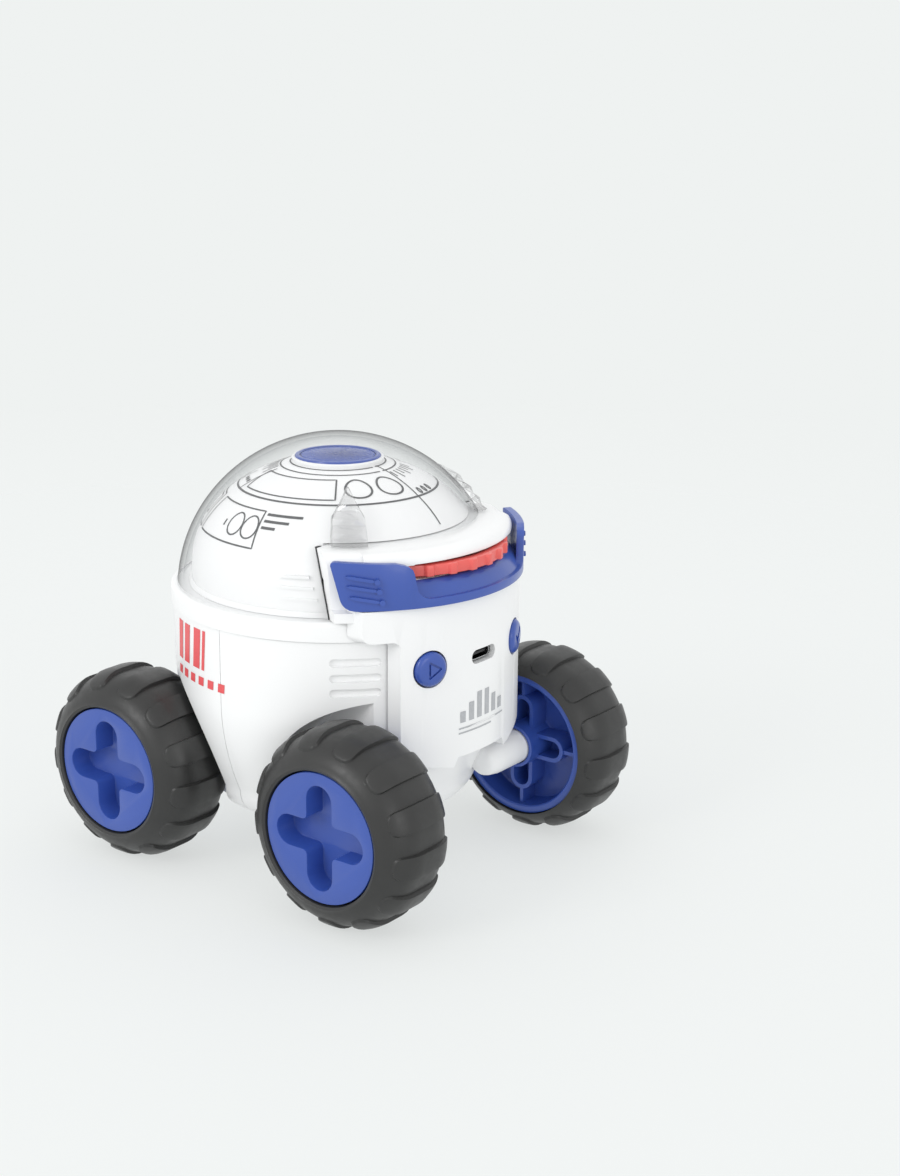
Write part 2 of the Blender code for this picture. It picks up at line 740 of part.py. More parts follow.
def lamp():
    board = rod("lamp_board", (0, 0, 0.0788), (0, 0, 0.0804), 0.0110, 24)
    keep(board, BOARD)
    led = turned("lamp_led", [(0, 0.0840), (0.0012, 0.0836), (0.0020, 0.0826), (0.0022, 0.0808), (0, 0.0808)],
                 16)
    keep(led, CLEAR)
    lens = turned("condenser_lens",
                  [(0, 0.0940), (0.0036, 0.0926), (0.0056, 0.0890), (0.0056, 0.0846), (0, 0.0846)], 20)
    return keep(lens, CLEAR)


# Electronics


def circuit_board():
    made = box("circuit_board", (-0.0260, -0.0385, 0.0668), (0.0260, -0.0080, 0.0684))
    join(made, box("socket_tongue", (-0.0060, -0.0455, 0.0668), (0.0060, -0.0375, 0.0684)))
    return keep(made, BOARD)


def charging_socket():
    """A USB-C shell with an open mouth, in a collar that fills the opening round it."""
    height = PORT_Z + 0.0001
    made = facing("charging_socket", rounded(0.0089, 0.0032, 0.0015), 0.0400, 0.0536, height)
    join(made, facing("socket_collar", rounded(0.0105, 0.0034, 0.0016), 0.0440, 0.0531, height))
    cut(made, facing("socket_mouth", rounded(0.0083, 0.0026, 0.0012), 0.0470, 0.0600, height))
    join(made, facing("socket_blade", rounded(0.0066, 0.0007, 0.0003), 0.0400, 0.0529, height))
    return keep(made, STEEL)


def side_pieces(name, side):
    """A push button and its switch, on the radius that the button travels."""
    turn = side * BUTTON_TURN
    home = bpy.data.objects.new(name + "_radius", None)
    ROVER.objects.link(home)
    home.location = (0, 0, BUTTON_Z)
    home.rotation_euler = (pi / 2, 0, turn)
    button = turned(
        name + "_button",
        [(0, 0.0563), (0.0036, 0.0562), (0.0046, 0.0559), (BUTTON_R - 0.0002, 0.0553),
         (BUTTON_R - 0.0002, 0.0525), (0.0033, 0.0525), (0.0033, 0.0450), (0, 0.0450)],
        20,
    )
    button.parent = home
    keep(button, BLUE)
    switch = box(name + "_switch", (-0.0030, -0.0012, 0.0390), (0.0030, 0.0028, 0.0425), 0.0003)
    plunger = rod(name + "_plunger", (0, 0.0005, 0.0420), (0, 0.0005, 0.0436), 0.0012, 12)
    plunger.parent = home
    join(switch, plunger)
    switch.parent = home
    keep(switch, BLACK)


def battery():
    made = rod("battery", (-0.0235, 0, 0.0330), (0.0235, 0, 0.0330), 0.0085, 28)
    return keep(made, FOIL)


def battery_tray():
    """A cradle screwed to the base inside the body."""
    made = box("battery_tray", (-0.0262, -0.0110, 0.0226), (0.0262, 0.0110, 0.0300))
    cut(made, rod("cradle", (-0.0240, 0, 0.0330), (0.0240, 0, 0.0330), 0.0089, 28))
    return keep(made, BLACK)


def speaker():
    outline = [(0, 0.0420), (0.0040, 0.0430), (0.0130, 0.0425), (0.0130, 0.0405), (0.0060, 0.0360),
               (0, 0.0360)]
    made = turned("speaker", outline, 24)
    made.rotation_euler = (-pi / 2, 0, 0)
    made.location = (0, -0.004, 0.0640)
    return keep(made, BLACK)


# Running gear


def axle(name, side, y):
    """A steel pin pressed into an arm, for one wheel."""
    made = rod(name, (side * AXLE_START, y, WHEEL_R), (side * AXLE_END, y, WHEEL_R), AXLE_R, 16)
    return keep(made, STEEL)


def tyre_side(height, width, turn):
    """A point on the tyre's shoulder; turn 0 is the sidewall and 90 the tread."""
    t = radians(turn)
    centre = WHEEL_R - SHOULDER
    return centre + height * sin(t), TYRE_W / 2 - SHOULDER + width * cos(t)


def tyre_mesh():
    """Carcass and lugs about Z, outer side up."""
    outer_side = [tyre_side(SHOULDER - LUG_H, SHOULDER, t) for t in (12, 50, 90)]
    inner_side = [tyre_side(SHOULDER - LUG_H, SHOULDER, t) for t in (90, 50, 28)]
    upper = [(FACE_R + 0.0004, TYRE_W / 2 - 0.0004)] + outer_side
    lower = [(r, -z) for r, z in inner_side] + [(RIM_IN_R + GAP, RIM_IN - WHEEL_MID - 0.0002)]
    step = FACE_OUT - 0.0085 - WHEEL_MID
    inside = [(RIM_IN_R + GAP, step), (FACE_R + 0.0004, step)]
    made = turned("tyre_carcass", upper + lower + inside, 2 * LUGS, closed=True)
    outer = [tyre_side(SHOULDER, SHOULDER, t) for t in (40, 63, 90)]
    under = [tyre_side(SHOULDER - 0.0026, SHOULDER - 0.0014, t) for t in (90, 40)]
    belt = outer + [(r, -z) for r, z in reversed(outer)]
    belt += [(r, -z) for r, z in reversed(under)] + under
    lugs = turned("tyre_lugs", belt, 2 * LUGS, closed=True)
    gear = []
    pitch = 360 / LUGS
    for i in range(LUGS):
        start = i * pitch - pitch / 4
        gear += arc((0, 0), 0.040, start, start + pitch / 2, 2)
        gear += arc((0, 0), 0.014, start + 0.6 * pitch, start + 0.9 * pitch, 2)
    common(lugs, plate("tyre_gear", gear, -0.03, 0.03))
    join(made, lugs)
    return made


def plus_outline(reach, width, count=5, fillet=0.0016):
    """A plus with round arm ends and filleted inner corners."""
    half = width / 2
    root = half + 0.00012
    points = []
    for i in range(4):
        tip = arc((reach - half, 0), half, -90, 90, count)
        bend = root + 0.3 * fillet
        corner = [(root + fillet, root), (bend, bend), (root, root + fillet)]
        turn = i * pi / 2
        for x, y in tip + corner:
            points.append((x * cos(turn) - y * sin(turn), x * sin(turn) + y * cos(turn)))
    return points


def rim_mesh():
    """The wheel's inner moulding about Z, outer side up: barrel, web, hub and a ribbed plus."""
    low = RIM_IN - WHEEL_MID
    high = FACE_OUT - 0.0085 - GAP - WHEEL_MID
    web = low + 0.0090
    barrel = RIM_IN_R - 0.0024
    outline = [(barrel, high), (RIM_IN_R, high), (RIM_IN_R, low), (barrel, low), (barrel, web)]
    outline += [(HUB_R, web), (HUB_R, low - HUB_PROUD), (0.0057, low - HUB_PROUD), (0.0057, low + 0.0018)]
    outline += [(BORE_R, low + 0.0018), (BORE_R, HUB_END), (0.0058, HUB_END)]
    outline += [(0.0058, web + 0.0018), (barrel, web + 0.0018)]
    made = turned("rim_body", outline, 20, closed=True)
    ring = plate("rim_plus", plus_outline(0.0155, 0.0082, 4, 0.0011), low + 0.0018, web + 0.001)
    cut(ring, plate("rim_plus_inside", plus_outline(0.0142, 0.0056, 4, 0.0011), low, web + 0.002))
    join(made, ring)
    for i in range(4):
        rib = box("rim_rib", (0.0150, -0.0006, low + 0.0022), (0.0212, 0.0006, web + 0.001))
        rib.rotation_euler = (0, 0, i * pi / 2)
        join(made, rib)
    return made


def face_mesh():
    """The wheel's outer cap about Z, with a deep plus-shaped pocket."""
    high = FACE_OUT - WHEEL_MID
    low = high - 0.0084
    made = rod("face_body", (0, 0, low), (0, 0, high), FACE_R, 34)
    return cut(made, plate("face_pocket", plus_outline(0.0155, 0.0090), high - 0.0070, high + 0.002))


def solid_mesh(obj, name):
    """The object's mesh with its modifiers applied, for pieces that share it."""
    bpy.context.view_layer.update()
    graph = bpy.context.evaluated_depsgraph_get()
    mesh = bpy.data.meshes.new_from_object(obj.evaluated_get(graph))
    mesh.name = name
    bpy.data.objects.remove(obj, do_unlink=True)
    return mesh


def wheels():
    meshes = (
        ("tyre", solid_mesh(tyre_mesh(), "tyre"), RUBBER),
        ("rim", solid_mesh(rim_mesh(), "rim"), BLUE),
        ("hubcap", solid_mesh(face_mesh(), "hubcap"), BLUE),
        ("axle_nut", solid_mesh(nut_mesh(), "axle_nut"), STEEL),
    )
    for end, y in (("front", -AXLE_Y), ("rear", AXLE_Y)):
        for hand, side in (("left", -1), ("right", 1)):
            axle(f"{end}_{hand}_axle", side, y)
            hub = bpy.data.objects.new(f"{end}_{hand}_hub", None)
            ROVER.objects.link(hub)
            hub.location = (side * WHEEL_MID, y, WHEEL_R)
            hub.rotation_euler = (0, side * pi / 2, 0)
            for piece, mesh, skin in meshes:
                obj = bpy.data.objects.new(f"{end}_{hand}_{piece}", mesh)
                ROVER.objects.link(obj)
                obj.parent = hub
                obj.rotation_euler = (0, 0, 0 if side > 0 else pi)
                keep(obj, skin)


def nut_mesh():
    """The nut on an axle's end, about Z, which keeps the wheel on."""
    low = HUB_END + GAP
    made = rod("nut_body", (0, 0, low), (0, 0, low + 0.0032), 0.0034, 6)
    return cut(made, rod("nut_bore", (0, 0, low - 0.001), (0, 0, low + 0.004), AXLE_R + GAP, 10))


def body():
    """Everything but the running gear, made about the body's axis and parented to it."""
    front_shell()
    rear_shell()
    rear_hatch()
    top_ring()
    base_cover()
    for number in range(4):
        base_screw(number)
    front_console()
    visor()
    clear_dome()
    inner_dome()
    lens_ring()
    lens_tube()
    projection_lens()
    deck_plate()
    disc_pin()
    picture_wheel()
    lamp()
    circuit_board()
    charging_socket()
    side_pieces("left", -1)
    side_pieces("right", 1)
    battery()
    battery_tray()
    speaker()
    axis = bpy.data.objects.new("body_axis", None)
    axis.location = (0, AXIS_Y, 0)
    for obj in list(ROVER.objects) + list(CUTTERS.objects):
        if obj.parent is None:
            obj.parent = axis
    ROVER.objects.link(axis)


body()
wheels()
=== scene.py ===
"""Looks for the toy rover night light: smooth moulded skins, printed dome, glass and rubber.

Metres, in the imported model's frame. The round body's axis is vertical at (0, AXIS_Y).
"""

from math import asin, cos, degrees, pi, radians, sin, sqrt

import bmesh
import bpy
from mathutils import Euler, Matrix, Vector


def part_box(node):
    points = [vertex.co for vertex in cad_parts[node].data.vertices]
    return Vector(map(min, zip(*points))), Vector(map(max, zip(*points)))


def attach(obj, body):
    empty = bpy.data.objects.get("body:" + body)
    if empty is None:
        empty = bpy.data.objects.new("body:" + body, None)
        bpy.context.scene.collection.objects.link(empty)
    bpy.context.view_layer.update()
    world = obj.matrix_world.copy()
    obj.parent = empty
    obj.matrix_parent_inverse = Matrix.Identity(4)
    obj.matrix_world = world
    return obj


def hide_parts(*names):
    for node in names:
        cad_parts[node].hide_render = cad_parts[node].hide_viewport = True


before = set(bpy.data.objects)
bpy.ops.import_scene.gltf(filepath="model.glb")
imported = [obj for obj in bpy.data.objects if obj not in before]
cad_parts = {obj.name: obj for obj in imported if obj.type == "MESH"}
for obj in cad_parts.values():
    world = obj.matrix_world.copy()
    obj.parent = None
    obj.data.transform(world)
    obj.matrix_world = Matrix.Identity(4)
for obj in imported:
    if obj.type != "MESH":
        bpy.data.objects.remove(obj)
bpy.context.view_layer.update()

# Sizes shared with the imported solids
RING_LOW, RING_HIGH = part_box("top_ring")
AXIS_Y = (RING_LOW.y + RING_HIGH.y) / 2
BODY_R = 0.050
WALL = 0.002
GAP = 0.0003
BASE_Z = 0.018
BOWL_Z = 0.055
SEAM_Y = 0.0027
RING_Z = RING_LOW.z
RING_TOP = RING_HIGH.z
RING_R = 0.0507
WHEEL_R = 0.02955
AXLE_Y = 0.04185
TYRE_OUT = 0.0613
TYRE_W = 0.0284
WHEEL_MID = TYRE_OUT - TYRE_W / 2
SHOULDER = 0.0108
LUG_H = 0.00115
SKIN_R = 0.02932
SKIN_W = 0.0279
LUGS = 13
RIM_IN = 0.0351
RIM_IN_R = 0.02264
FACE_OUT = 0.0603
FACE_R = 0.01917
ARM_R = 0.0054
ARM_END = 0.0360
HUB_R = 0.0068
HUB_PROUD = 0.0029
ARM_ROOT = 0.0138
AXLE_START = 0.0165
BORE_R = 0.0019
HUB_END = 0.0001
WELL_R = 0.0310
WELL_X = 0.0312
DOME_MID = 0.0808
DOME_R = 0.0488
DOME_H = 0.0476
DOME_WALL = 0.0016
CAP_MID = 0.090
CAP_R = 0.0442
CAP_H = 0.0318
CAP_WALL = 0.0014
LENS_R = 0.0129
LENS_IN = 0.0114
RIB_R = 0.0516
RIB_H = 0.0490
RIB_TURNS = (38, 53)
RIB_TOP = 0.1185
NOTCH_FOOT = -0.0295
NOTCH_LEAN = 0.362
CHEEK_POINT = (0.0387, -0.0293, 0.0849)
CHEEK_NORMAL = (0.855, 0.5145, -0.067)
SHELF_IN = 0.0375
SHELF_LOW = 0.1004
SHELF_TOP = 0.1044
BIB_R = 0.0550
BIB_LOW = 0.0385
BIB_HIGH = 0.0887
DISC_R = 0.0332
DISC_Y = -0.0221
DISC_LOW = 0.0966
DISC_HIGH = 0.0998
KNURLS = 28
KNURL_H = 0.0010
KNURL_TURN = 4.4
WINDOWS = 6
WINDOW_R = 0.0070
VISOR_R = 0.0490
VISOR_Y = -0.0086
VISOR_LOW = 0.0890
VISOR_LIP = 0.0914
VISOR_TOP = 0.1030
VISOR_WALL = 0.0022
TRAY_TOP = 0.0958
WING_RIBS = (
    (55.2, 45.0, 0.0991, 0.0976),
    (54.9, 44.3, 0.0963, 0.0948),
    (54.0, 43.4, 0.0932, 0.0916),
)
BUTTON_X = 0.0204
BUTTON_Z = 0.0700
BUTTON_R = 0.0053
BUTTON_TURN = asin(BUTTON_X / BIB_R)
PORT_Z = 0.0703
HATCH_X = 0.0226
HATCH_LOW = 0.0392
HATCH_HIGH = 0.0757
FINE = 144
SMOOTH_ANGLE = radians(32)

WORK = bpy.data.collections.new("looks")
bpy.context.scene.collection.children.link(WORK)
CUTTERS = []


# Materials

FINE_GRAIN = 2600.0  # noise cells per metre
COARSE_RELIEF = 0.00002


def shader_of(name):
    made = bpy.data.materials.new(name)
    made.use_nodes = True
    tree = made.node_tree
    return made, tree, tree.nodes["Principled BSDF"]


def node(tree, kind, inputs=(), **settings):
    made = tree.nodes.new(kind)
    for key, value in settings.items():
        setattr(made, key, value)
    for key, value in inputs:
        if hasattr(value, "links"):
            tree.links.new(value, made.inputs[key])
        else:
            made.inputs[key].default_value = value
    return made


def noise(tree, scale, detail=2.0, roughness=0.5):
    where = node(tree, "ShaderNodeTexCoord")
    spread = (("Vector", where.outputs["Object"]), ("Scale", scale), ("Detail", detail))
    return node(tree, "ShaderNodeTexNoise", spread + (("Roughness", roughness),)).outputs["Fac"]


def spread(tree, value, low, high, start=0.35, end=0.65):
    """Value from start..end turned into low..high."""
    inputs = (("Value", value), ("From Min", start), ("From Max", end), ("To Min", low), ("To Max", high))
    return node(tree, "ShaderNodeMapRange", inputs).outputs["Result"]


def shades(tree, value, dark, light):
    mixed = node(tree, "ShaderNodeMix", (("Factor", value),), data_type="RGBA")
    mixed.inputs[6].default_value = (*dark, 1)
    mixed.inputs[7].default_value = (*light, 1)
    return mixed.outputs[2]


def grained(tree, bsdf, height, distance):
    """Fine relief on a surface."""
    inputs = (("Height", height), ("Distance", distance), ("Strength", 0.4))
    tree.links.new(node(tree, "ShaderNodeBump", inputs).outputs["Normal"], bsdf.inputs["Normal"])


def moulded(name, colour, rough=0.3, grain=0.000008, coat=0.0, vary=0.03):
    """Injection-moulded plastic: a fine satin grain and faint flow marks."""
    made, tree, bsdf = shader_of(name)
    flow = spread(tree, noise(tree, 45.0, 2.0), 0.0, 1.0)
    dark = tuple(c * (1 - vary) for c in colour)
    tree.links.new(shades(tree, flow, dark, colour), bsdf.inputs["Base Color"])
    mottle = noise(tree, 500.0, 2.0)
    tree.links.new(spread(tree, mottle, rough - 0.03, rough + 0.04), bsdf.inputs["Roughness"])
    grained(tree, bsdf, noise(tree, FINE_GRAIN), grain)
    bsdf.inputs["Coat Weight"].default_value = coat
    bsdf.inputs["Coat Roughness"].default_value = 0.08
    return made


def rubber(name):
    """Tyre rubber: dark grey with a fine matt grain."""
    made, tree, bsdf = shader_of(name)
    cloud = spread(tree, noise(tree, 90.0, 3.0, 0.5), 0.0, 1.0)
    tone = shades(tree, cloud, (0.021, 0.021, 0.0207), (0.026, 0.026, 0.0255))
    tree.links.new(tone, bsdf.inputs["Base Color"])
    tree.links.new(spread(tree, noise(tree, 500.0, 3.0), 0.36, 0.44), bsdf.inputs["Roughness"])
    grained(tree, bsdf, noise(tree, FINE_GRAIN), COARSE_RELIEF)
    bsdf.inputs["Specular IOR Level"].default_value = 0.5
    return made


def clear(name, tint, edge, rim=4.0, shine=0.02, gleam=0.3, rough=0.02):
    """Clear moulding: seen straight through in the middle, greyer and shinier towards its outline."""
    made, tree, bsdf = shader_of(name)
    tree.nodes.remove(bsdf)
    facing_off = node(tree, "ShaderNodeLayerWeight", (("Blend", 0.5),)).outputs["Facing"]
    steep = node(tree, "ShaderNodeMath", ((0, facing_off), (1, rim)), operation="POWER").outputs[0]
    through = node(tree, "ShaderNodeBsdfTransparent", (("Color", shades(tree, steep, tint, edge)),))
    dust = spread(tree, noise(tree, 300.0, 3.0), rough, rough + 0.02)
    gloss = node(tree, "ShaderNodeBsdfGlossy", (("Color", (1, 1, 1, 1)), ("Roughness", dust)))
    amount = spread(tree, steep, shine, gleam, 0.0, 1.0)
    mixed = node(tree, "ShaderNodeMixShader", ((0, amount), (1, through.outputs[0]), (2, gloss.outputs[0])))
    tree.links.new(mixed.outputs[0], tree.nodes["Material Output"].inputs["Surface"])
    return made


def lens_glass(name):
    """The lens: deep blue, glossy, lighter towards its rim."""
    made, tree, bsdf = shader_of(name)
    where = node(tree, "ShaderNodeTexCoord").outputs["Object"]
    flat = node(tree, "ShaderNodeVectorMath", ((0, where), (1, (1, 1, 0))), operation="MULTIPLY").outputs[0]
    apart = node(tree, "ShaderNodeVectorMath", ((0, flat),), operation="LENGTH").outputs["Value"]
    deep = spread(tree, apart, 0.0, 1.0, 0.002, 0.0112)
    tree.links.new(shades(tree, deep, (0.035, 0.06, 0.24), (0.05, 0.10, 0.40)), bsdf.inputs["Base Color"])
    tree.links.new(spread(tree, noise(tree, 300.0), 0.22, 0.28), bsdf.inputs["Roughness"])
    bsdf.inputs["Specular IOR Level"].default_value = 0.12
    return made


def metal(name, colour, rough):
    """Turned steel with fine rings of tool marks."""
    made, tree, bsdf = shader_of(name)
    bsdf.inputs["Metallic"].default_value = 1.0
    marks = noise(tree, FINE_GRAIN)
    tree.links.new(shades(tree, marks, tuple(0.85 * c for c in colour), colour), bsdf.inputs["Base Color"])
    tree.links.new(spread(tree, marks, rough - 0.06, rough + 0.10), bsdf.inputs["Roughness"])
    grained(tree, bsdf, marks, COARSE_RELIEF)
    return made


def board(name):
    """Green solder mask with copper tracks under it."""
    made, tree, bsdf = shader_of(name)
    where = node(tree, "ShaderNodeTexCoord").outputs["Object"]
    cells = node(tree, "ShaderNodeTexBrick", (("Vector", where), ("Scale", 260.0), ("Mortar Size", 0.03)))
    cells.inputs["Color1"].default_value = (0.012, 0.13, 0.06, 1)
    cells.inputs["Color2"].default_value = (0.016, 0.16, 0.07, 1)
    cells.inputs["Mortar"].default_value = (0.05, 0.30, 0.12, 1)
    tree.links.new(cells.outputs["Color"], bsdf.inputs["Base Color"])
    tree.links.new(spread(tree, noise(tree, 800.0), 0.25, 0.4), bsdf.inputs["Roughness"])
    return made


def ink(name, colour, rough=0.45):
    """Printed ink: flat colour with a slight mottle."""
    made, tree, bsdf = shader_of(name)
    mottle = spread(tree, noise(tree, 1500.0, 3.0), 0.0, 1.0)
    tree.links.new(shades(tree, mottle, tuple(0.9 * c for c in colour), colour), bsdf.inputs["Base Color"])
    tree.links.new(spread(tree, mottle, rough - 0.06, rough + 0.06, 0, 1), bsdf.inputs["Roughness"])
    return made


WHITE = moulded("white_moulding", (0.885, 0.888, 0.89), 0.32, grain=0.0000015, coat=0.1, vary=0.008)
CAP_WHITE = moulded("dome_white", (0.89, 0.89, 0.892), 0.45, grain=0.0000015, vary=0.008)
BLUE = moulded("blue_moulding", (0.036, 0.086, 0.385), 0.32, coat=0.25, vary=0.04)
CORAL = moulded("coral_moulding", (0.80, 0.115, 0.10), 0.34, coat=0.2, vary=0.04)
BLACK = moulded("black_moulding", (0.018, 0.018, 0.020), 0.42, vary=0.08)
RUBBER = rubber("tyre_rubber_skin")
GLASS = clear("dome_glass", (0.99, 0.992, 0.993), (0.08, 0.082, 0.085), 5.5, 0.018, 0.22)
GLASS_INSIDE = clear("dome_glass_inside", (0.995, 0.995, 0.995), (0.86, 0.865, 0.87), 4.0, 0.01, 0.12)
CRYSTAL = clear("crystal", (0.995, 0.995, 0.997), (0.0, 0.0, 0.002), 2.1, 0.08, 0.7)
LENS_GLASS = lens_glass("lens_glass")
FILM = clear("film_clear", (0.80, 0.84, 0.88), (0.5, 0.54, 0.58), rough=0.10)
STEEL = metal("turned_steel", (0.62, 0.63, 0.64), 0.28)
BOARD = board("solder_mask")
FOIL = moulded("battery_sleeve", (0.24, 0.26, 0.30), 0.35, vary=0.1)
LINE_INK = ink("line_ink", (0.11, 0.112, 0.116))
CORAL_INK = ink("coral_ink", (0.80, 0.10, 0.11), 0.4)
GREY_INK = ink("grey_ink", (0.47, 0.48, 0.50), 0.4)


# Mesh helpers


def placed(name, data):
    obj = bpy.data.objects.new(name, data)
    WORK.objects.link(obj)
    return obj


def from_bmesh(name, bm):
    mesh = bpy.data.meshes.new(name)
    bm.to_mesh(mesh)
    bm.free()
    return placed(name, mesh)


def loft(bm, rows):
    """Faces between each closed row of points and the next."""
    for first, second in zip(rows, rows[1:]):
        for j in range(len(first)):
            n = (j + 1) % len(first)
            bm.faces.new((first[j], first[n], second[n], second[j]))


def turned(name, outline, steps=FINE, closed=False, turn=None):
    """A profile of (radius, height) points, outer side top to bottom, turned about Z."""
    bm = bmesh.new()
    points = [bm.verts.new((r, 0, z)) for r, z in outline]
    for first, second in zip(points, points[1:]):
        bm.edges.new((first, second))
    if closed:
        bm.edges.new((points[-1], points[0]))
    obj = from_bmesh(name, bm)
    screw = obj.modifiers.new("turn", "SCREW")
    screw.axis = "Z"
    screw.steps = steps
    screw.render_steps = steps
    screw.use_merge_vertices = True
    screw.merge_threshold = 0.00001
    if turn:
        obj.rotation_euler = turn
    return obj


def box(name, low, high):
    bm = bmesh.new()
    bmesh.ops.create_cube(bm, size=1)
    bmesh.ops.scale(bm, vec=Vector(high) - Vector(low), verts=bm.verts)
    bmesh.ops.translate(bm, vec=(Vector(high) + Vector(low)) / 2, verts=bm.verts)
    return from_bmesh(name, bm)


def rod(name, start, end, radius, sides=96):
    """A cylinder between two points."""
    start = Vector(start)
    along = Vector(end) - start
    bm = bmesh.new()
    bmesh.ops.create_cone(
        bm, cap_ends=True, segments=sides, radius1=radius, radius2=radius, depth=along.length
    )
    turn = Vector((0, 0, 1)).rotation_difference(along).to_matrix().to_4x4()
    bmesh.ops.transform(bm, matrix=Matrix.Translation(start + along / 2) @ turn, verts=bm.verts)
    return from_bmesh(name, bm)


def plate(name, outline, low, high, turn=(0, 0, 0)):
    """A flat outline in XY, thick from low to high along Z, then turned."""
    bm = bmesh.new()
    floor = [bm.verts.new((x, y, low)) for x, y in outline]
    roof = [bm.verts.new((x, y, high)) for x, y in outline]
    bm.faces.new(list(reversed(floor)))
    bm.faces.new(roof)
    for i in range(len(outline)):
        j = (i + 1) % len(outline)
        bm.faces.new((floor[i], floor[j], roof[j], roof[i]))
    bmesh.ops.recalc_face_normals(bm, faces=bm.faces)
    bmesh.ops.transform(bm, matrix=Euler(turn).to_matrix().to_4x4(), verts=bm.verts)
    return from_bmesh(name, bm)


def boolean(obj, other, operation):
    step = obj.modifiers.new("shape", "BOOLEAN")
    step.operation = operation
    step.object = other
    CUTTERS.append(other)


def cut(obj, *cutters):
    for cutter in cutters:
        boolean(obj, cutter, "DIFFERENCE")
    return obj


def join(obj, *others):
    for other in others:
        boolean(obj, other, "UNION")
    return obj


def common(obj, other):
    boolean(obj, other, "INTERSECT")
    return obj


def soften(obj, width, segments=2, angle=38):
    """Rounds the sharp edges."""
    step = obj.modifiers.new("soften", "BEVEL")
    step.width = width
    step.segments = segments
    step.limit_method = "ANGLE"
    step.angle_limit = radians(angle)
    return obj


def applied(obj):
    """The object's mesh with its modifiers applied."""
    bpy.context.view_layer.update()
    graph = bpy.context.evaluated_depsgraph_get()
    return bpy.data.meshes.new_from_object(obj.evaluated_get(graph))


def swapped(obj, mesh, helpers):
    """A new object of the same name in place of obj, without its helpers."""
    name = obj.name
    for old in (obj, *helpers):
        bpy.data.objects.remove(old, do_unlink=True)
    return placed(name, mesh)


def settle(obj):
    """Applies the modifiers and the object's place to its mesh, and clears the cutters."""
    mesh = applied(obj)
    mesh.transform(obj.matrix_world)
    made = swapped(obj, mesh, CUTTERS)
    CUTTERS.clear()
    return made


def settle_alone(obj, *helpers):
    """Applies a cutter's own modifiers, so that it can itself cut."""
    return swapped(obj, applied(obj), helpers)


def finish_piece(obj, skin, body, slot, *nodes, about_axis=True):
    """Settles a piece, moves it onto the body's axis, and gives it its material and its body."""
    obj = settle(obj)
    if about_axis:
        obj.data.transform(Matrix.Translation((0, AXIS_Y, 0)))
    obj.data.materials.clear()
    obj.data.materials.append(skin)
    obj.data.shade_smooth()
    obj.data.set_sharp_from_angle(angle=SMOOTH_ANGLE)
    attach(obj, body)
    if nodes:
        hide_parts(*nodes)
    return obj


def around(azimuth, radius):
    """A point in plan: azimuth 0 faces the front and grows towards +X."""
    turn = radians(azimuth)
    return radius * sin(turn), -radius * cos(turn)


def arc(middle, radius, start, end, count):
    steps = [radians(start + (end - start) * i / (count - 1)) for i in range(count)]
    return [(middle[0] + radius * cos(t), middle[1] + radius * sin(t)) for t in steps]


def pill(length, width, count=13):
    half = (length - width) / 2
    return arc((half, 0), width / 2, -90, 90, count) + arc((-half, 0), width / 2, 90, 270, count)


def rounded(width, height, radius, count=9):
    x, y = width / 2 - radius, height / 2 - radius
    corners = ((x, y, 0), (-x, y, 90), (-x, -y, 180), (x, -y, 270))
    return [p for cx, cy, t in corners for p in arc((cx, cy), radius, t, t + 90, count)]


def sector(name, azimuth, low, high, reach=0.09):
    rim = [around(-azimuth + 2 * azimuth * i / 24, reach) for i in range(25)]
    return plate(name, [(0, 0)] + rim, low, high)


FACING = (pi / 2, 0, 0)
SIDEWAYS = (pi / 2, 0, pi / 2)


def facing(name, outline, near, far, height=0.0):
    raised = [(x, z + height) for x, z in outline]
    return plate(name, raised, near, far, turn=FACING)


def mirrored(points):
    return points + [(-x, z) for x, z in reversed(points) if abs(x) > 0.00001]


def wrapped(name, outline, inner, outer, step=2):
    """An outline of (azimuth in degrees, height) bent round Z, between two radii."""
    flat = plate(name, [(turn / 1000, z) for turn, z in outline], inner, outer)
    bm = bmesh.new()
    bm.from_mesh(flat.data)
    for turn in range(-88, 89, step):
        everything = list(bm.verts) + list(bm.edges) + list(bm.faces)
        bmesh.ops.bisect_plane(bm, geom=everything, plane_co=(turn / 1000, 0, 0), plane_no=(1, 0, 0))
    for vert in bm.verts:
        x, y = around(1000 * vert.co.x, vert.co.z)
        vert.co = (x, y, vert.co.y)
    bmesh.ops.recalc_face_normals(bm, faces=bm.faces)
    bm.to_mesh(flat.data)
    bm.free()
    return flat


# The body


def bowl_radius(z):
    drop = max(0.0, BOWL_Z - z) / 0.0637
    return BODY_R * (1 - drop**1.75) ** (1 / 1.75)


def body_outline(inset, top):
    low = BASE_Z + inset
    edge = 0.009 - inset
    outline = [(0, top), (BODY_R - inset, top)]
    outline += [(bowl_radius(z) - inset, z) for z in (BOWL_Z - 0.002 * i for i in range(14))]
    foot = bowl_radius(BASE_Z + 0.009) - inset
    for turn in range(0, 91, 10):
        t = radians(turn)
        outline.append((foot - edge * (1 - cos(t)), low + edge * (1 - sin(t))))
    return outline + [(0, low)]


def wells(name, radius, inner_x):
    drums = []
    for y in (-AXLE_Y, AXLE_Y):
        for side in (-1, 1):
            start = (side * inner_x, y - AXIS_Y, WHEEL_R)
            end = (side * 0.08, y - AXIS_Y, WHEEL_R)
            drums.append(rod(name, start, end, radius, 128))
    return drums


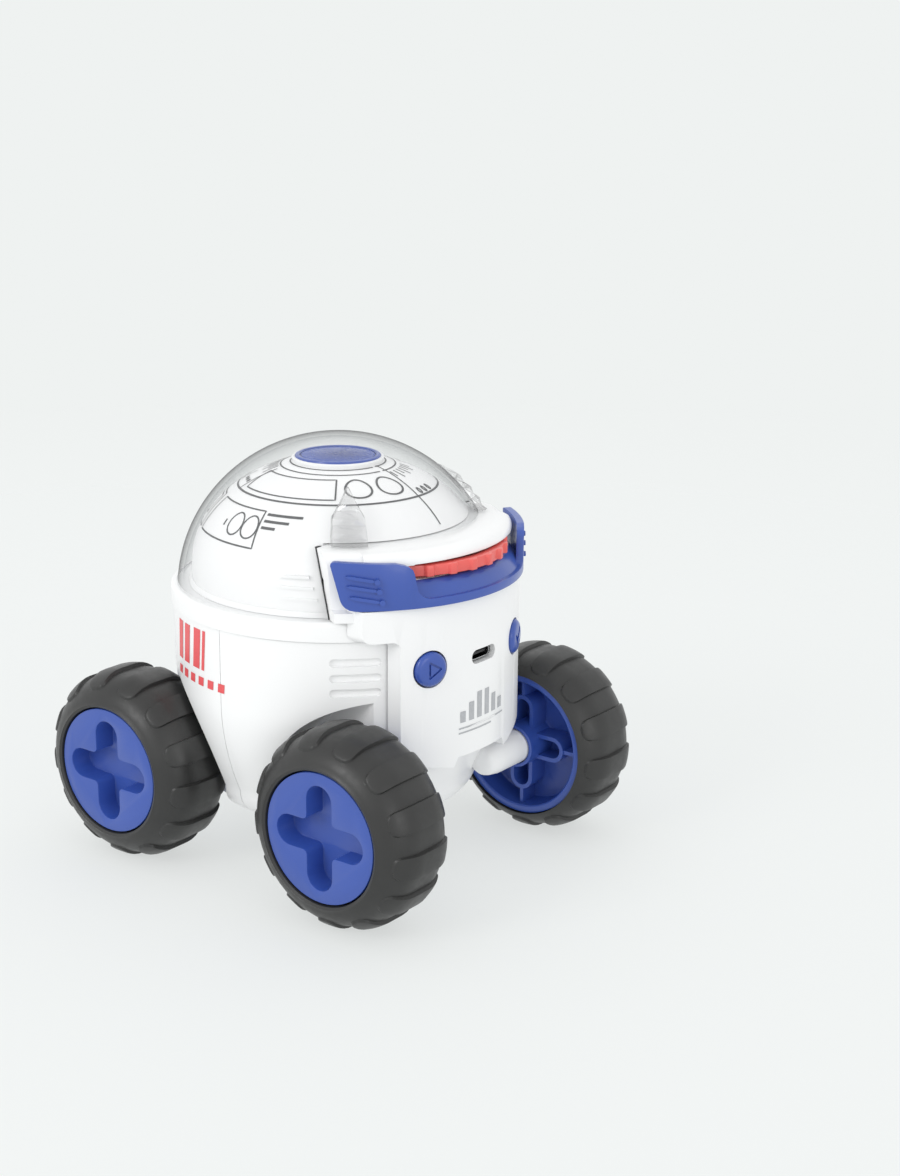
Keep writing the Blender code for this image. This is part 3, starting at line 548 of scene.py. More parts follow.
def arm(name, y, side):
    outline = [(0, ARM_END), (ARM_R - 0.0002, ARM_END), (ARM_R, ARM_END - 0.0002), (ARM_R, 0.0204)]
    outline += [(0.0053, 0.0200), (0.0049, 0.0172), (0.0045, 0.0159), (0.0037, 0.0148), (0.0022, 0.0141)]
    outline += [(0, ARM_ROOT)]
    made = turned(name, outline, 72, turn=(0, side * pi / 2, 0))
    made.location = (0, y - AXIS_Y, WHEEL_R)
    return made


def shell(name, axle_y, side):
    made = turned(name, body_outline(0, RING_Z - GAP))
    cut(made, *wells(name + "_well", WELL_R, WELL_X))
    hollow = turned(name + "_hollow", body_outline(WALL, RING_Z + 0.004))
    cut(hollow, *wells(name + "_well_wall", WELL_R + WALL, WELL_X - WALL))
    cut(made, hollow)
    y = axle_y - AXIS_Y
    for hand in (-1, 1):
        join(made, arm(name + "_arm", axle_y, hand))
        start = (hand * (AXLE_START - GAP), y, WHEEL_R)
        cut(made, rod(name + "_bore", start, (hand * 0.05, y, WHEEL_R), BORE_R, 32))
    cut(made, rod(name + "_base_hole", (0, 0, 0), (0, 0, 0.0225), 0.0262, FINE))
    far = SEAM_Y - side * 0.08
    near = SEAM_Y + side * 0.0001
    other = sorted((near, far))
    cut(made, box(name + "_other_half", (-0.08, other[0], 0), (0.08, other[1], 0.12)))
    return made


def vents(name, azimuth, heights, length, width):
    """Pill recesses in the wall, with a floor."""
    slots = []
    for z in heights:
        slot = plate(name, pill(length, width), 0.0486, 0.056, turn=FACING)
        slot.rotation_euler = (0, 0, radians(azimuth))
        slot.location = (0, 0, z)
        slots.append(slot)
    return slots


def port_way(name):
    return facing(name, rounded(0.0112, 0.0042, 0.0020), 0.040, 0.060, PORT_Z)


def shells():
    front = shell("front_shell_skin", -AXLE_Y, -1)
    for azimuth in (-44.6, 44.6):
        cut(front, *vents("front_vent", azimuth, (0.0725, 0.0679, 0.0635), 0.0148, 0.0025))
    finish_piece(front, WHITE, "chassis", "white_plastic", "front_shell")
    rear = shell("rear_shell_skin", AXLE_Y, 1)
    cut(rear, hatch_form("hatch_way", GAP, -0.060, -0.030))
    for azimuth in (-143.5, 143.5):
        cut(rear, *vents("rear_vent", azimuth, (0.0717, 0.0670, 0.0624), 0.0120, 0.0025))
    finish_piece(rear, WHITE, "chassis", "white_plastic", "rear_shell")


def hatch_form(name, grow, near, far):
    outline = rounded(2 * (HATCH_X + grow), HATCH_HIGH - HATCH_LOW + 2 * grow, 0.0022 + grow)
    return facing(name, outline, near, far, (HATCH_LOW + HATCH_HIGH) / 2)


def rear_hatch():
    outline = [(0.0480, 0.079), (0.0500, 0.079), (0.0500, 0.036), (0.0480, 0.036)]
    made = turned("rear_hatch_skin", outline[1:] + outline[:1], closed=True)
    common(made, hatch_form("hatch_panel", 0, -0.060, -0.030))
    soften(made, 0.0003, 2, 50)
    lip = box("hatch_lip", (-0.0123, 0.0462, 0.0446), (0.0123, 0.0512, 0.0462))
    soften(lip, 0.0004)
    join(made, lip)
    for side in (-1, 1):
        tab = box("hatch_tab", (side * 0.0105 - 0.0012, 0.0405, 0.0500),
                  (side * 0.0105 + 0.0012, 0.0492, 0.0560))
        join(made, tab)
    for x in (-0.0124, 0, 0.0124):
        cut(made, rod("sound_hole", (x, 0.040, 0.0697), (x, 0.055, 0.0697), 0.0015, 40))
    finish_piece(made, WHITE, "rear_hatch", "white_plastic", "rear_hatch")


def top_ring():
    outline = [(RING_R, RING_Z), (0.0470, RING_Z), (0.0470, 0.0822), (0.0450, 0.0822)]
    outline += [(0.0450, RING_TOP - 0.0004), (0.0489, RING_TOP - 0.0004), (0.0489, RING_TOP)]
    edge = 0.0014
    outline += [(RING_R - edge + edge * sin(radians(t)), RING_TOP - edge + edge * cos(radians(t)))
                for t in range(0, 91, 15)]
    made = turned("top_ring_skin", outline, closed=True)
    finish_piece(made, WHITE, "chassis", "white_plastic", "top_ring")


def base_cover():
    outline = [(0, 0.0202), (0.0258, 0.0202), (0.0258, 0.0184), (0.0256, 0.0181), (0.0252, BASE_Z)]
    outline += [(0, BASE_Z)]
    made = turned("base_cover_skin", outline)
    for i in range(4):
        x, y = around(45 + 90 * i, 0.020)
        cut(made, rod("screw_seat", (x, y, 0.0100), (x, y, 0.0300), 0.0015, 24))
        cut(made, rod("screw_head_seat", (x, y, 0.0100), (x, y, 0.0192), 0.0025, 40))
    finish_piece(made, BLACK, "chassis", "black_plastic", "base_cover")


# The console


def bib_outline():
    wide = BIB_R * sin(radians(43))
    narrow = BIB_R * sin(radians(31.5))
    foot = 0.0108
    right = [(wide, BIB_HIGH), (wide, 0.0815)]
    right += arc((wide - 0.0022, 0.0815), 0.0022, 0, -90, 9)[1:]
    right += arc((narrow + 0.0022, 0.0771), 0.0022, 90, 180, 9)
    right += [(narrow, 0.0445)]
    right += arc((narrow - 0.0025, 0.0440), 0.0025, 0, -60, 7)[1:]
    right += [(foot + 0.0015, BIB_LOW), (foot, BIB_LOW + 0.0028)]
    return mirrored(right)


def notch_y(z, back=0.0):
    """How far forward the dome's leaning cut starts at a height."""
    return NOTCH_FOOT + back + NOTCH_LEAN * (z - RING_TOP)


def notch(name, back, low, top):
    foot, head = notch_y(low, back), notch_y(top, back)
    return plate(name, [(-0.09, low), (foot, low), (head, top), (-0.09, top)], -0.06, 0.06, SIDEWAYS)


def cheek_cut(name, side, proud=0.0):
    """Takes away what would stand proud of the glass beside the dome's cut."""
    made = box(name, (-0.05, -0.05, 0), (0.05, 0.05, 0.03))
    out = Vector((side * CHEEK_NORMAL[0], CHEEK_NORMAL[1], CHEEK_NORMAL[2]))
    made.rotation_euler = Vector((0, 0, 1)).rotation_difference(out).to_euler()
    made.location = Vector((side * CHEEK_POINT[0], CHEEK_POINT[1], CHEEK_POINT[2])) + out * proud
    return made


def console():
    top = [(SHELF_IN, SHELF_TOP), (0.0462, 0.1040), (0.0484, 0.1034), (0.0498, 0.1024), (0.0505, 0.1012)]
    side = [(0.0508, SHELF_LOW - 0.001), (0.0508, BIB_HIGH - 0.0002), (0.0528, BIB_HIGH - 0.0008)]
    under = [(0.0528, 0.0851), (0.0462, 0.0851), (0.0462, 0.0960), (SHELF_IN, SHELF_LOW)]
    made = turned("console_skin", top + side + under, closed=True)
    common(made, notch("console_notch", -GAP, 0.080, 0.110))
    skin = [(BIB_R, 0.095), (BIB_R, 0.030), (0.0511, 0.030), (0.0511, 0.095)]
    bib = turned("bib", skin, closed=True)
    common(bib, facing("bib_outline", bib_outline(), 0.020, 0.070))
    brim = [(0.0440, 0.1035), (0.0482, 0.1038), (0.0502, 0.1034), (0.0515, 0.1027), (0.0522, 0.1017)]
    brim += [(0.0523, 0.1010), (0.0523, SHELF_LOW), (0.0440, SHELF_LOW)]
    shelf = turned("shelf", brim, closed=True)
    common(shelf, sector("shelf_sector", 42, 0.090, 0.110))
    join(made, bib, shelf)
    cut(made, cheek_cut("left_cheek", -1), cheek_cut("right_cheek", 1))
    drum = rod("console_disc_way", (0, DISC_Y, DISC_LOW - 0.0008), (0, DISC_Y, SHELF_LOW + 0.0002),
               DISC_R + 0.0006, 160)
    cut(made, drum)
    for turn in (-BUTTON_TURN, BUTTON_TURN):
        x, y = sin(turn), -cos(turn)
        inner = (0.030 * x, 0.030 * y, BUTTON_Z)
        outer = (0.060 * x, 0.060 * y, BUTTON_Z)
        cut(made, rod("button_seat", inner, outer, BUTTON_R + GAP, 64))
    cut(made, port_way("console_port_way"))
    soften(made, 0.0005, 3, 40)
    finish_piece(made, WHITE, "chassis", "white_plastic", "front_console")


def visor_turn(x):
    return degrees(asin(x / VISOR_R))


def visor_outline():
    """The visor unrolled: two wings joined by a low lip."""
    bend = arc((0.0215, VISOR_LIP + 0.0042), 0.0042, -90, -20, 9)
    bend += [(0.0263, 0.0990), (0.0267, 0.1002), (0.0274, 0.1010), (0.0284, 0.1015), (0.0305, 0.1022)]
    right = [(0, VISOR_LIP)] + [(visor_turn(x), z) for x, z in bend]
    right += [(58.9, VISOR_TOP), (59.6, VISOR_TOP - 0.0001), (60.1, VISOR_TOP - 0.0004), (60.2, 0.1020)]
    right += [(57.0, 0.0920), (56.4, 0.0909), (55.4, 0.0900), (54.0, 0.0893), (52.0, 0.0890)]
    return mirrored(right + [(0, VISOR_LOW)])


def wing_ribs():
    """Slanting ribs on each wing, with a small nub at their front ends."""
    ribs = []
    for side in (-1, 1):
        for back, front, high, low in WING_RIBS:
            half = 0.00048
            turns = [front + (back - front) * i / 10 for i in range(11)]
            level = [low + (high - low) * i / 10 for i in range(11)]
            ease = [0.2, 0.8] + [1.0] * 7 + [0.8, 0.2]
            upper = [(t, z + half * e) for t, z, e in zip(turns, level, ease)]
            lower = [(t, z - half * e) for t, z, e in zip(turns, level, ease)]
            outline = [(side * t, z) for t, z in upper + lower[::-1]]
            ribs.append(wrapped("wing_rib", outline, VISOR_R - 0.0010, VISOR_R + 0.0008))
            nub = [(side * (front + 1000 * x / 0.86), low + z) for x, z in arc((0, 0), 0.0008, 0, 337.5, 16)]
            ribs.append(wrapped("rib_nub", nub, VISOR_R - 0.0010, VISOR_R + 0.0011))
    return ribs


def visor():
    made = wrapped("visor_skin", visor_outline(), VISOR_R - VISOR_WALL, VISOR_R)
    out = VISOR_R - 0.0010
    tray = turned(
        "visor_tray",
        [(out, VISOR_LIP - 0.0006), (out, VISOR_LOW + 0.0001), (0.0400, VISOR_LOW + 0.0001),
         (0.0400, TRAY_TOP), (0.0436, TRAY_TOP), (0.0445, TRAY_TOP - 0.0003), (0.0458, TRAY_TOP - 0.0016)],
        closed=True,
    )
    cut(tray, rod("console_room", (0, -VISOR_Y, 0.05), (0, -VISOR_Y, 0.12), 0.0514, 160))
    reach = [around(turn, 0.09) for turn in range(-48, 49, 6)]
    common(tray, plate("tray_reach", [(0, -VISOR_Y)] + reach, 0.080, 0.110))
    join(made, tray)
    soften(made, 0.0003, 2, 45)
    join(made, *wing_ribs())
    made = settle(made)
    made.data.transform(Matrix.Translation((0, VISOR_Y, 0)))
    finish_piece(made, BLUE, "chassis", "blue_plastic", "visor")


def buttons():
    for hand, side in (("left", -1), ("right", 1)):
        made = turned(
            hand + "_button_skin",
            [(0, 0.0563), (0.0036, 0.0562), (0.0043, 0.0560), (0.0047, 0.0557), (0.0050, 0.0553),
             (BUTTON_R - 0.0002, 0.0548), (BUTTON_R - 0.0002, 0.0525), (0.0033, 0.0525),
             (0.0033, 0.0450), (0, 0.0450)],
            64,
        )
        cut(made, *icon(side))
        for obj in [made] + CUTTERS:
            obj.location = (0, 0, BUTTON_Z)
            obj.rotation_euler = (pi / 2, 0, side * BUTTON_TURN)
        finish_piece(made, BLUE, hand + "_button", "blue_plastic", hand + "_button")


def icon(side):
    """The sunk mark on a button: the outline of a triangle, or a bent bar on the other side."""
    floor, high = 0.0557, 0.0577
    if side < 0:
        outer = corner_round(((-0.0012, 0.0029), (-0.0012, -0.0029), (0.0034, 0)), 0.0005)
        inner = corner_round(((-0.0006, 0.0018), (-0.0006, -0.0018), (0.0023, 0)), 0.0002)
        groove = plate("triangle", outer, floor, high)
        middle = plate("triangle_middle", inner, floor - 0.001, high + 0.001)
        step = groove.modifiers.new("middle", "BOOLEAN")
        step.operation = "DIFFERENCE"
        step.object = middle
        made = settle_alone(groove, middle)
        return [made]
    bars = corner_round(((-0.0026, 0.0003), (-0.0017, 0.0013), (-0.0005, -0.0002), (0.0020, 0.0029),
                         (0.0030, 0.0019), (-0.0005, -0.0024)), 0.0003)
    return [plate("bent_bar", bars, floor, high)]


def corner_round(corners, radius, count=5):
    """A closed outline with its convex corners eased."""
    made = []
    total = len(corners)
    for i in range(total):
        before, here, after = (Vector(corners[(i + k) % total]) for k in (-1, 0, 1))
        start = here + (before - here).normalized() * radius * 1.6
        end = here + (after - here).normalized() * radius * 1.6
        for k in range(count):
            t = k / (count - 1)
            point = start * (1 - t) ** 2 + here * (2 * t * (1 - t)) + end * t**2
            made.append((point.x, point.y))
    return made


# Domes and projector


def dome_curve(radius, height, middle, low, count):
    end = asin((low - middle) / height) if low > middle else 0.0
    turns = [pi / 2 + (end - pi / 2) * i / (count - 1) for i in range(1, count)]
    side = [(radius * cos(t), middle + height * sin(t)) for t in turns]
    return [(0, middle + height)] + side + ([] if low > middle else [(radius, low)])


def dome_shell(name, radius, height, middle, wall, low, count):
    outer = dome_curve(radius, height, middle, low, count)
    inner = dome_curve(radius - wall, height - wall, middle, low, count)
    return turned(name, outer + list(reversed(inner)), FINE)


def domes():
    low = RING_TOP + GAP
    glass = dome_shell("clear_dome_skin", DOME_R, DOME_H, DOME_MID, DOME_WALL, low, 48)
    cut(glass, notch("dome_notch", 0, low - 0.001, SHELF_TOP + GAP))
    glass = finish_piece(glass, GLASS, "chassis", "clear_plastic", "clear_dome")
    glass.data.materials.append(GLASS_INSIDE)
    middle = Vector((0, AXIS_Y, DOME_MID))
    for face in glass.data.polygons:
        if face.normal.dot(face.center - middle) < 0:
            face.material_index = 1
    cap = dome_shell("inner_dome_skin", CAP_R, CAP_H, CAP_MID, CAP_WALL, low, 40)
    cut(cap, notch("inner_notch", 0.0004, low - 0.001, SHELF_TOP + GAP))
    cut(cap, rod("disc_pocket", (0, DISC_Y, DISC_LOW - 0.0006), (0, DISC_Y, DISC_HIGH + 0.0006),
                 DISC_R + GAP, 128))
    cut(cap, rod("lens_hole", (0, 0, 0.110), (0, 0, 0.130), 0.0098, 64))
    finish_piece(cap, CAP_WHITE, "chassis", "white_plastic", "inner_dome")
    inside = CAP_R + 0.00005
    skirt = [(inside, low - 0.0006), (0.0453, low - 0.0006), (0.0451, low - 0.0001)]
    skirt += [(CAP_R + 0.0003, low + 0.0008), (inside, low + 0.0009)]
    foot = turned("cap_foot", skirt, closed=True)
    cut(foot, notch("foot_notch", 0.0004, low - 0.002, SHELF_TOP + GAP))
    finish_piece(foot, CAP_WHITE, "chassis", "white_plastic")


def crystal(name, side):
    """A faceted clear rib beside the dome's cut."""
    bm = bmesh.new()
    low = SHELF_TOP + GAP
    start, end = RIB_TURNS
    peak = start + 0.42 * (end - start)  # the azimuth of its tip
    section = ((0.0, 0.0), (0.06, 0.8), (0.36, 1.0), (0.70, 0.86), (0.94, 0.62), (1.0, 0.0))
    steps = 8
    rows = []
    for i in range(steps + 1):
        z = low + (RIB_TOP - low) * i / steps
        rise = (z - DOME_MID) / RIB_H
        proud = RIB_R * sqrt(1 - rise * rise)
        level = (z - DOME_MID) / (DOME_H - 0.0008)
        seat = (DOME_R - 0.0008) * sqrt(1 - level * level)
        swing = 2.2 if i % 2 else -1.4
        slim = min(1.0, 0.10 + 1.8 * (1 - i / steps))  # it narrows to a point
        relief = 0.35 if i % 2 else 1.0
        row = []
        for share, depth in section:
            turn = start + (end - start) * share + (swing if 0.2 < share < 0.9 else 0.0)
            turn = peak + (turn - peak) * slim
            ease = depth * (relief if share > 0.3 else 1.0) * (0.5 if i == steps else 1.0)
            x, y = around(side * turn, seat + (proud - seat) * ease)
            row.append(bm.verts.new((x, y, z)))
        rows.append(row)
    loft(bm, rows)
    bm.faces.new(rows[0])
    bm.faces.new(rows[-1])
    bmesh.ops.recalc_face_normals(bm, faces=bm.faces)
    bmesh.ops.triangulate(bm, faces=bm.faces)
    made = finish_piece(from_bmesh(name, bm), CRYSTAL, "chassis", "clear_plastic")
    made.data.shade_flat()


def dome_edge_shade():
    """A black strip of painted shade in the gap between the glass and the console, one strip on each side:
    it stands in for the dark line that the glass's cut edge shows there.
    """
    bm = bmesh.new()
    low = RING_TOP + GAP
    for side in (-1, 1):
        rows = []
        for i in range(25):
            z = low + (SHELF_TOP - low) * i / 24
            reach = DOME_R * sqrt(1 - ((z - DOME_MID) / DOME_H) ** 2)
            skin, root = reach + 0.00004, reach - 0.0015
            row = []
            for radius, shift in ((skin, 0.00045), (root, 0.00045), (root, -0.0003), (skin, -0.0003)):
                y = notch_y(z) + shift
                row.append(bm.verts.new((side * sqrt(radius**2 - y**2), y, z)))
            rows.append(row)
        loft(bm, rows)
        bm.faces.new(rows[0])
        bm.faces.new(rows[-1])
    bmesh.ops.recalc_face_normals(bm, faces=bm.faces)
    # Painted shade: a black strip for the dark line along the glass's cut edge.
    made = from_bmesh("dome_edge_shade", bm)
    cut(made, cheek_cut("edge_shade_left", -1, 0.0003), cheek_cut("edge_shade_right", 1, 0.0003))
    finish_piece(made, BLACK, "chassis", "black_plastic")


def cap_ridges():
    """Faint ridges on the inner dome's wall beside the console."""
    first = None
    for side in (-1, 1):
        for z, start in ((0.0958, 60.5), (0.0926, 59.0), (0.0893, 57.5)):
            outline = [(side * (start + x), z + h) for x, h in
                       ((0, -0.0004), (13, -0.0004), (14.5, 0), (13, 0.0004), (0, 0.0004))]
            band = wrapped("cap_ridge", outline, CAP_R - 0.0022, CAP_R + 0.0004)
            if first is None:
                first = band
            else:
                join(first, band)
    finish_piece(first, CAP_WHITE, "chassis", "white_plastic")


def lens():
    """The blue bezel and the lens on its shelf."""
    top = CAP_MID + CAP_H + 0.0005
    shelf = top - 0.0007
    foot = CAP_MID + CAP_H - 0.0007
    ring = turned(
        "lens_ring_skin",
        [(LENS_IN, top - 0.0003), (LENS_IN + 0.0003, top), (LENS_R - 0.0006, top),
         (LENS_R - 0.0002, top - 0.0002), (LENS_R, top - 0.0006), (LENS_R, foot - 0.0006), (0.0106, foot),
         (0.0092, foot), (0.0092, shelf), (LENS_IN, shelf)],
        96,
        closed=True,
    )
    finish_piece(ring, BLUE, "chassis", "blue_plastic", "lens_ring")
    step = top - 0.0006
    collar = [(LENS_R + 0.00005, step), (LENS_R + 0.0006, step), (LENS_R + 0.0009, step - 0.0003),
              (LENS_R + 0.0009, step - 0.0016), (LENS_R + 0.00005, step - 0.0016)]
    finish_piece(turned("lens_collar", collar, 96, closed=True), CAP_WHITE, "chassis", "white_plastic")
    face = CAP_MID + CAP_H + 0.0001
    rim = LENS_IN - GAP - 0.0001
    dome = [(rim * i / 8, face + 0.0006 - 0.0005 * (i / 8) ** 2) for i in range(9)]
    glass = turned("lens_skin", dome + [(rim, face), (0.0088, face), (0.0088, face - 0.0011),
                                        (0, face - 0.0013)], 96)
    finish_piece(glass, LENS_GLASS, "chassis", "clear_plastic", "projection_lens")


def picture_wheel():
    outline = []
    pitch = 360 / KNURLS
    for i in range(KNURLS):
        middle = i * pitch - 90 + KNURL_TURN
        outline += arc((0, 0), DISC_R, middle - 0.13 * pitch, middle + 0.13 * pitch, 4)
        outline += arc((0, 0), DISC_R - KNURL_H, middle + 0.22 * pitch, middle + 0.78 * pitch, 7)
    wheel = plate("picture_wheel_skin", outline, DISC_LOW, DISC_HIGH)
    soften(wheel, 0.00025, 2, 25)
    cut(wheel, rod("hub_hole", (0, 0, 0.09), (0, 0, 0.11), 0.0017, 32))
    for i in range(WINDOWS):
        x, y = around(360 * i / WINDOWS, -DISC_Y)
        cut(wheel, rod("window", (x, y, 0.09), (x, y, 0.11), WINDOW_R, 48))
    for obj in [wheel] + CUTTERS:
        obj.location = (0, DISC_Y, 0)
    finish_piece(wheel, CORAL, "picture_wheel", "coral_plastic", "picture_wheel")


# Wheels


def tyre_point(turn, lift):
    """(radius, z) on the tyre's outer half; turn 0 is the sidewall and 90 the tread."""
    t = radians(turn)
    base = SHOULDER - LUG_H * (1 - lift)
    return SKIN_R - SHOULDER + base * sin(t), SKIN_W / 2 - SHOULDER + SHOULDER * cos(t)


def lug_half_width(turn):
    """Half a lug's width, in pitches, narrowing round its end."""
    square, end = 54.0, 40.0
    full, bend = 0.25, 0.155
    if turn >= square:
        return full
    t = min(1.0, (square - turn) / (square - end))
    return full - bend + bend * sqrt(max(0.0, 1 - t * t))


def tyre_mesh():
    """The tyre about Z with its outer side up: one skin, its grid lines following the lugs' edges."""
    turns = [14, 20, 26, 31, 34.5, 37.5]
    rows = [(t, 0.0) for t in turns] + [(38.6, 0.0), (39.3, 0.75), (40.0, 0.96)]
    rows += [(t, 1.0) for t in (41.0, 43.0, 46.0, 50.0, 54.0, 62.0, 70.0, 80.0, 90.0)]
    wall = 0.020  # a lug's side, in pitches
    pitch = 2 * pi / LUGS
    profile = [(t, lift, 1) for t, lift in rows] + [(t, lift, -1) for t, lift in reversed(rows[2:])]
    r_out = FACE_R + 0.0004
    step_z = FACE_OUT - 0.0085 - WHEEL_MID
    r_in = RIM_IN_R + GAP
    bead = RIM_IN - WHEEL_MID
    bm = bmesh.new()
    grid = []
    for i, k in ((i, k) for i in range(LUGS) for k in range(14)):
        line = []
        for turn, lift, side in profile:
            w = lug_half_width(turn)
            marks = [0.0, 0.45 * w, 0.85 * w, w, w + 0.5 * wall, w + wall, w + 0.4 * (0.5 - w), 0.5]
            heights = [1.0, 1.0, 1.0, 0.93, 0.45, 0.0, 0.0, 0.0]
            step = k if k < 8 else 14 - k
            sign = 1 if k < 8 else -1
            angle = (i + sign * marks[step]) * pitch
            r, z = tyre_point(turn, lift * heights[step])
            line.append(bm.verts.new((r * cos(angle), r * sin(angle), side * z)))
        c, s = cos(angle), sin(angle)
        for r, z in ((r_in + 0.0003, bead - 0.0006), (r_in, bead + 0.0002), (r_in, step_z), (r_out, step_z),
                     (r_out, SKIN_W / 2 - 0.0012), (r_out + 0.0002, SKIN_W / 2 - 0.0005),
                     (r_out + 0.0010, SKIN_W / 2 - 0.0001)):
            line.append(bm.verts.new((r * c, r * s, z)))
        grid.append(line)
    order = []
    for i in range(LUGS):
        block = grid[i * 14:(i + 1) * 14]
        order += block[8:] + block[:8]
    loft(bm, order + order[:1])
    bmesh.ops.recalc_face_normals(bm, faces=bm.faces)
    return from_bmesh("tyre_form", bm)


def plus_outline(reach, width, fillet=0.0016, count=13):
    half = width / 2
    points = []
    for i in range(4):
        tip = arc((reach - half, 0), half, -90, 90, count)
        inner = arc((half + fillet, half + fillet), fillet, 270, 180, 7)
        turn = i * pi / 2
        for x, y in tip + inner:
            points.append((x * cos(turn) - y * sin(turn), x * sin(turn) + y * cos(turn)))
    return points


def rim_mesh():
    low = RIM_IN - WHEEL_MID
    high = FACE_OUT - 0.0085 - GAP - WHEEL_MID
    web = low + 0.0090
    barrel = RIM_IN_R - 0.0024
    outline = [(barrel, high), (RIM_IN_R, high), (RIM_IN_R, low + 0.0004), (RIM_IN_R - 0.0001, low + 0.0001)]
    outline += [(RIM_IN_R - 0.0004, low), (barrel + 0.0004, low), (barrel, low + 0.0004)]
    outline += [(barrel, web - 0.0012)]
    tip = low - HUB_PROUD
    outline += [(barrel - 0.0004, web - 0.0004), (barrel - 0.0012, web), (HUB_R + 0.0012, web)]
    outline += [(HUB_R + 0.0003, web - 0.0003), (HUB_R, web - 0.0012), (HUB_R, tip + 0.0003)]
    outline += [(HUB_R - 0.0003, tip), (0.0060, tip), (0.0057, tip + 0.0003), (0.0057, low + 0.0018)]
    outline += [(BORE_R, low + 0.0018), (BORE_R, HUB_END), (0.0058, HUB_END)]
    outline += [(0.0058, web + 0.0018), (barrel, web + 0.0018)]
    made = turned("rim_form", outline, 96, closed=True)
    ring = plate("rim_plus", plus_outline(0.0155, 0.0082, 0.0011), low + 0.0018, web + 0.001)
    cut(ring, plate("rim_plus_inside", plus_outline(0.0142, 0.0056, 0.0013), low, web + 0.002))
    join(made, ring)
    for i in range(4):
        rib = box("rim_rib", (0.0150, -0.0006, low + 0.0022), (0.0212, 0.0006, web + 0.001))
        rib.rotation_euler = (0, 0, i * pi / 2)
        join(made, rib)
    return made


def face_mesh():
    high = FACE_OUT - WHEEL_MID
    low = high - 0.0084
    made = rod("hubcap_form", (0, 0, low), (0, 0, high), FACE_R, 128)
    cut(made, plate("face_pocket", plus_outline(0.0155, 0.0090), high - 0.0070, high + 0.002))
    soften(made, 0.00035, 2, 50)
    return made


def wheels():
    forms = (
        ("tyre", settle(tyre_mesh()), RUBBER, "tyre_rubber"),
        ("rim", settle(rim_mesh()), BLUE, "blue_plastic"),
        ("hubcap", settle(face_mesh()), BLUE, "blue_plastic"),
    )
    for end, y in (("front", -AXLE_Y), ("rear", AXLE_Y)):
        for hand, side in (("left", -1), ("right", 1)):
            place = Matrix.Translation((side * WHEEL_MID, y, WHEEL_R))
            place @= Euler((0, side * pi / 2, 0)).to_matrix().to_4x4()
            place @= Matrix.Rotation(0 if side > 0 else pi, 4, "Z")
            for kind, form, skin, slot in forms:
                obj = placed(f"{end}_{hand}_{kind}_skin", form.data.copy())
                obj.data.transform(place)
                finish_piece(obj, skin, f"{end}_{hand}_wheel", slot, f"{end}_{hand}_{kind}",
                             about_axis=False)
    for _, form, _, _ in forms:
        bpy.data.objects.remove(form, do_unlink=True)


# Printing


def cap_point(azimuth, z, lift):
    """(place, outward direction) on the inner dome, in the body's own frame."""
    if z < CAP_MID:
        radius, slope = CAP_R, 0.0
    else:
        rise = (z - CAP_MID) / CAP_H
        radius = CAP_R * sqrt(max(0.0, 1 - rise * rise))
        slope = (z - CAP_MID) / CAP_H**2
    x, y = around(azimuth, 1.0)
    out = Vector((x * radius / CAP_R**2, y * radius / CAP_R**2, slope)).normalized()
    return Vector((x * radius, y * radius, z)) + out * lift, out


def wall_point(azimuth, z, lift, radius):
    x, y = around(azimuth, 1.0)
    return Vector((x, y, 0)) * (radius + lift) + Vector((0, 0, z)), Vector((x, y, 0))


def densified(points, closed, step):
    """(azimuth, height in mm) points with extra ones between, so that a line hugs its surface."""
    pairs = list(zip(points, points[1:] + points[:1])) if closed else list(zip(points, points[1:]))
    made = []
    for (a0, z0), (a1, z1) in pairs:
        count = max(1, int(max(abs(a1 - a0), abs(z1 - z0) * 2) / step))
        made += [(a0 + (a1 - a0) * i / count, z0 + (z1 - z0) * i / count) for i in range(count)]
    return made if closed else made + [points[-1]]


def ribbon(bm, points, width, closed=False, place=cap_point, lift=0.00008, step=1.5):
    """A thin printed line through (azimuth, height in mm) points."""
    spots = [place(a, z / 1000, lift) for a, z in densified(points, closed, step)]
    count = len(spots)
    rows = []
    for i, (spot, out) in enumerate(spots):
        before = spots[(i - 1) % count][0] if closed or i else spot
        after = spots[(i + 1) % count][0] if closed or i < count - 1 else spot
        side = out.cross((after - before).normalized()).normalized() * width / 2
        rows.append((bm.verts.new(spot - side), bm.verts.new(spot + side)))
    for first, second in list(zip(rows, rows[1:])) + ([(rows[-1], rows[0])] if closed else []):
        bm.faces.new((first[0], second[0], second[1], first[1]))


def oval(azimuth, z, across, tall, place=cap_point, count=24):
    """(azimuth, height in mm) points of an oval, sized in mm along the surface."""
    spot, out = place(azimuth, z / 1000, 0)
    radius = Vector((spot.x, spot.y)).length * 1000
    rise = sqrt(max(0.05, 1 - out.z**2))
    turns = [2 * pi * i / count for i in range(count)]
    return [(azimuth + across * cos(t) / radius * 57.3, z + tall * sin(t) * rise) for t in turns]


def patch(bm, points, place, lift=0.00008):
    """A filled printed shape from a closed outline of (azimuth, height in mm) points."""
    bm.faces.new([bm.verts.new(place(a, z / 1000, lift)[0]) for a, z in points])


